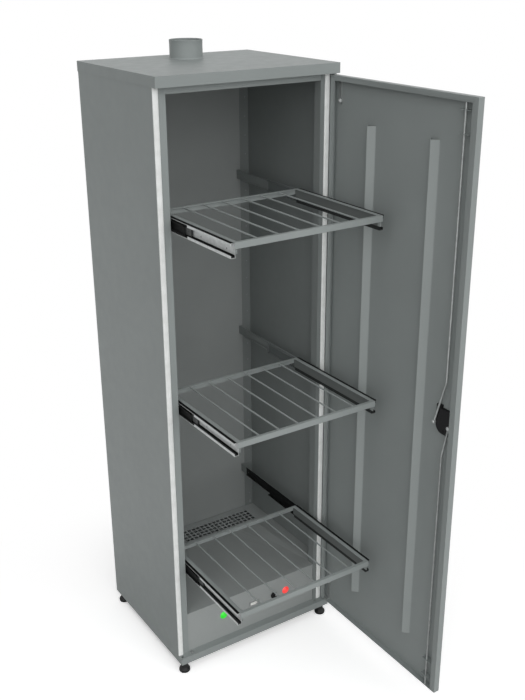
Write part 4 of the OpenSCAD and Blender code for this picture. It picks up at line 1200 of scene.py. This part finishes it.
@dataclass
class Studio:
    """Camera, lights and floor. None of it belongs to the cabinet."""

    eye: Triple = (-1181.723, -2310.710, 2177.013)
    azimuth: float = 33.1172
    pitch: float = 22.1933
    roll: float = -0.3702
    focal: float = 973.4375
    picture: float = 700.0
    sensor: float = 36.0
    sky: float = 0.24
    sun: float = 2.9
    sun_angle: float = 110.0
    sun_from: Triple = (-0.24, -0.90, 0.38)
    floor_glow: float = 0.46
    floor_tones: Pair = (0.5, 0.97)
    fade: Pair = (0.55, 1.25)
    body_at: Pair = (300.0, 272.0)
    body_half: Pair = (300.0, 248.0)

    def camera(self) -> None:
        """Sets the camera where the photographer's stood, from its yaw, pitch and roll.

        The lens is the focal length in pixels over the picture's height in pixels, times the sensor's.
        """
        az, pit, roll = (math.radians(a) for a in (self.azimuth, self.pitch, self.roll))
        ahead = np.array([math.sin(az) * math.cos(pit), math.cos(az) * math.cos(pit), -math.sin(pit)])
        right = np.array([math.cos(az), -math.sin(az), 0.0])
        up = np.cross(right, ahead)
        r = math.cos(roll) * right + math.sin(roll) * up
        u = -math.sin(roll) * right + math.cos(roll) * up
        place = placed(np.array(self.eye))
        data = bpy.data.cameras.new("camera")
        data.sensor_fit = "VERTICAL"
        data.sensor_height = self.sensor
        data.lens = self.focal / self.picture * self.sensor
        data.clip_end = 200.0
        camera = linked("camera", data)
        stand = np.stack([r, u, -ahead, place], axis=1)
        camera.matrix_world = Matrix(np.vstack([stand, [[0, 0, 0, 1]]]).tolist())
        bpy.context.scene.camera = camera

    def lights(self) -> None:
        """One broad soft sun from the front left above, and an even sky that is white where it is seen."""
        data = bpy.data.lights.new("softbox", "SUN")
        data.energy = self.sun
        data.angle = math.radians(self.sun_angle)
        lamp = linked("softbox", data)
        d = np.array(self.sun_from) / np.linalg.norm(self.sun_from)
        yaw, tilt = math.atan2(d[0], -d[1]), math.acos(d[2])
        lamp.rotation_euler = (tilt, 0.0, yaw)
        world = bpy.data.worlds.new("studio")
        bpy.context.scene.world = world
        tree = cleared(world)
        power = add(tree, "ShaderNodeMapRange", {"To Min": self.sky, "To Max": 1.0},
                    {"Value": self.seen(tree)})
        sky = add(tree, "ShaderNodeBackground", {"Color": (1, 1, 1, 1)}, {"Strength": power})
        add(tree, "ShaderNodeOutputWorld", links={"Surface": sky})

    def seen(self, tree: Tree) -> Node:
        """1 for what the camera sees straight, mirrored or through glass, and 0 for light on things."""
        path = add(tree, "ShaderNodeLightPath").outputs
        most = path["Is Camera Ray"]
        for kind in ("Is Glossy Ray", "Is Transmission Ray"):
            most = add(tree, "ShaderNodeMath", links={0: most, 1: path[kind]}, operation="MAXIMUM")
        return most

    def beside(self, tree: Tree) -> Node:
        """0 for floor more than 50 mm under the body and 1 from 10 mm under its edge outwards.

        What counts is the greater of |x - x0| - half the width and |y - y0| - half the depth.
        """
        place = spot(tree)
        middle = placed(np.array([*self.body_at, 0.0]))
        reach = {}
        for k, half in enumerate(self.body_half):
            off = add(tree, "ShaderNodeMath", {1: middle[k]}, {0: place.outputs[k]}, operation="SUBTRACT")
            away = add(tree, "ShaderNodeMath", links={0: off}, operation="ABSOLUTE")
            reach[k] = add(tree, "ShaderNodeMath", {1: half * MM}, {0: away}, operation="SUBTRACT")
        far = add(tree, "ShaderNodeMath", links=reach, operation="MAXIMUM")
        return add(tree, "ShaderNodeMapRange", {"From Min": -0.05, "From Max": -0.01}, {"Value": far})

    def floor(self) -> None:
        """A pale floor that keeps the shadow near the cabinet and turns white further out."""
        t = np.linspace(0, TURN, 64, endpoint=False)[None, :]
        r = np.array([[0.0001], [2.0], [9.0], [30.0]])
        pts = np.stack([r * np.cos(t), r * np.sin(t), 0 * r * t - 0.0004], -1)
        mesh = bpy.data.meshes.new("floor")
        mesh.from_pydata(pts.reshape(-1, 3), [], Surface().grid(pts).faces[:-1])
        floor = linked("floor", mesh)
        mat = bpy.data.materials.new("pale_floor")
        tree = cleared(mat)
        seen = self.seen(tree)
        low, high = self.floor_tones
        tone = add(tree, "ShaderNodeMapRange", {"To Min": low, "To Max": high}, {"Value": seen})
        diffuse = add(tree, "ShaderNodeBsdfDiffuse", links={"Color": tone})
        glow = add(tree, "ShaderNodeMath", {1: self.floor_glow},
                   {0: add(tree, "ShaderNodeLightPath").outputs["Is Camera Ray"]}, operation="MULTIPLY")
        lift = add(tree, "ShaderNodeMath", links={0: glow, 1: self.beside(tree)}, operation="MULTIPLY")
        light = add(tree, "ShaderNodeEmission", {"Color": (1, 1, 1, 1)}, {"Strength": lift})
        paint = add(tree, "ShaderNodeAddShader", links={0: diffuse, 1: light})
        white = add(tree, "ShaderNodeEmission", {"Color": (1, 1, 1, 1), "Strength": 1.0})
        far = add(tree, "ShaderNodeVectorMath",
                  links={0: add(tree, "ShaderNodeTexCoord").outputs["Object"]}, operation="LENGTH")
        near, white_from = self.fade
        fade = add(tree, "ShaderNodeMapRange", {"From Min": near, "From Max": white_from},
                   {"Value": far.outputs["Value"]}, interpolation_type="SMOOTHSTEP")
        share = add(tree, "ShaderNodeMath", links={0: fade, 1: seen}, operation="MULTIPLY")
        mix = add(tree, "ShaderNodeMixShader", links={0: share, 1: paint, 2: white})
        add(tree, "ShaderNodeOutputMaterial", links={"Surface": mix})
        mesh.materials.append(mat)

    def build(self) -> None:
        """Builds the studio and sets the plain view transform."""
        self.camera()
        self.lights()
        self.floor()
        bpy.context.scene.view_settings.view_transform = "Standard"


def main() -> None:
    """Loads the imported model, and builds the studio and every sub-assembly."""
    logging.basicConfig(level=logging.INFO, format="%(name)s: %(message)s")
    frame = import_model()
    Studio().build()
    for part in (Shell(frame), Feet(), Controls(frame), HeaterWorks(frame), Slides(frame), Shelves(frame),
                 DoorLeaf(frame), Lock(frame)):
        part.build()
        log.info("%s done", type(part).__name__)


if __name__ == "__main__":
    main()
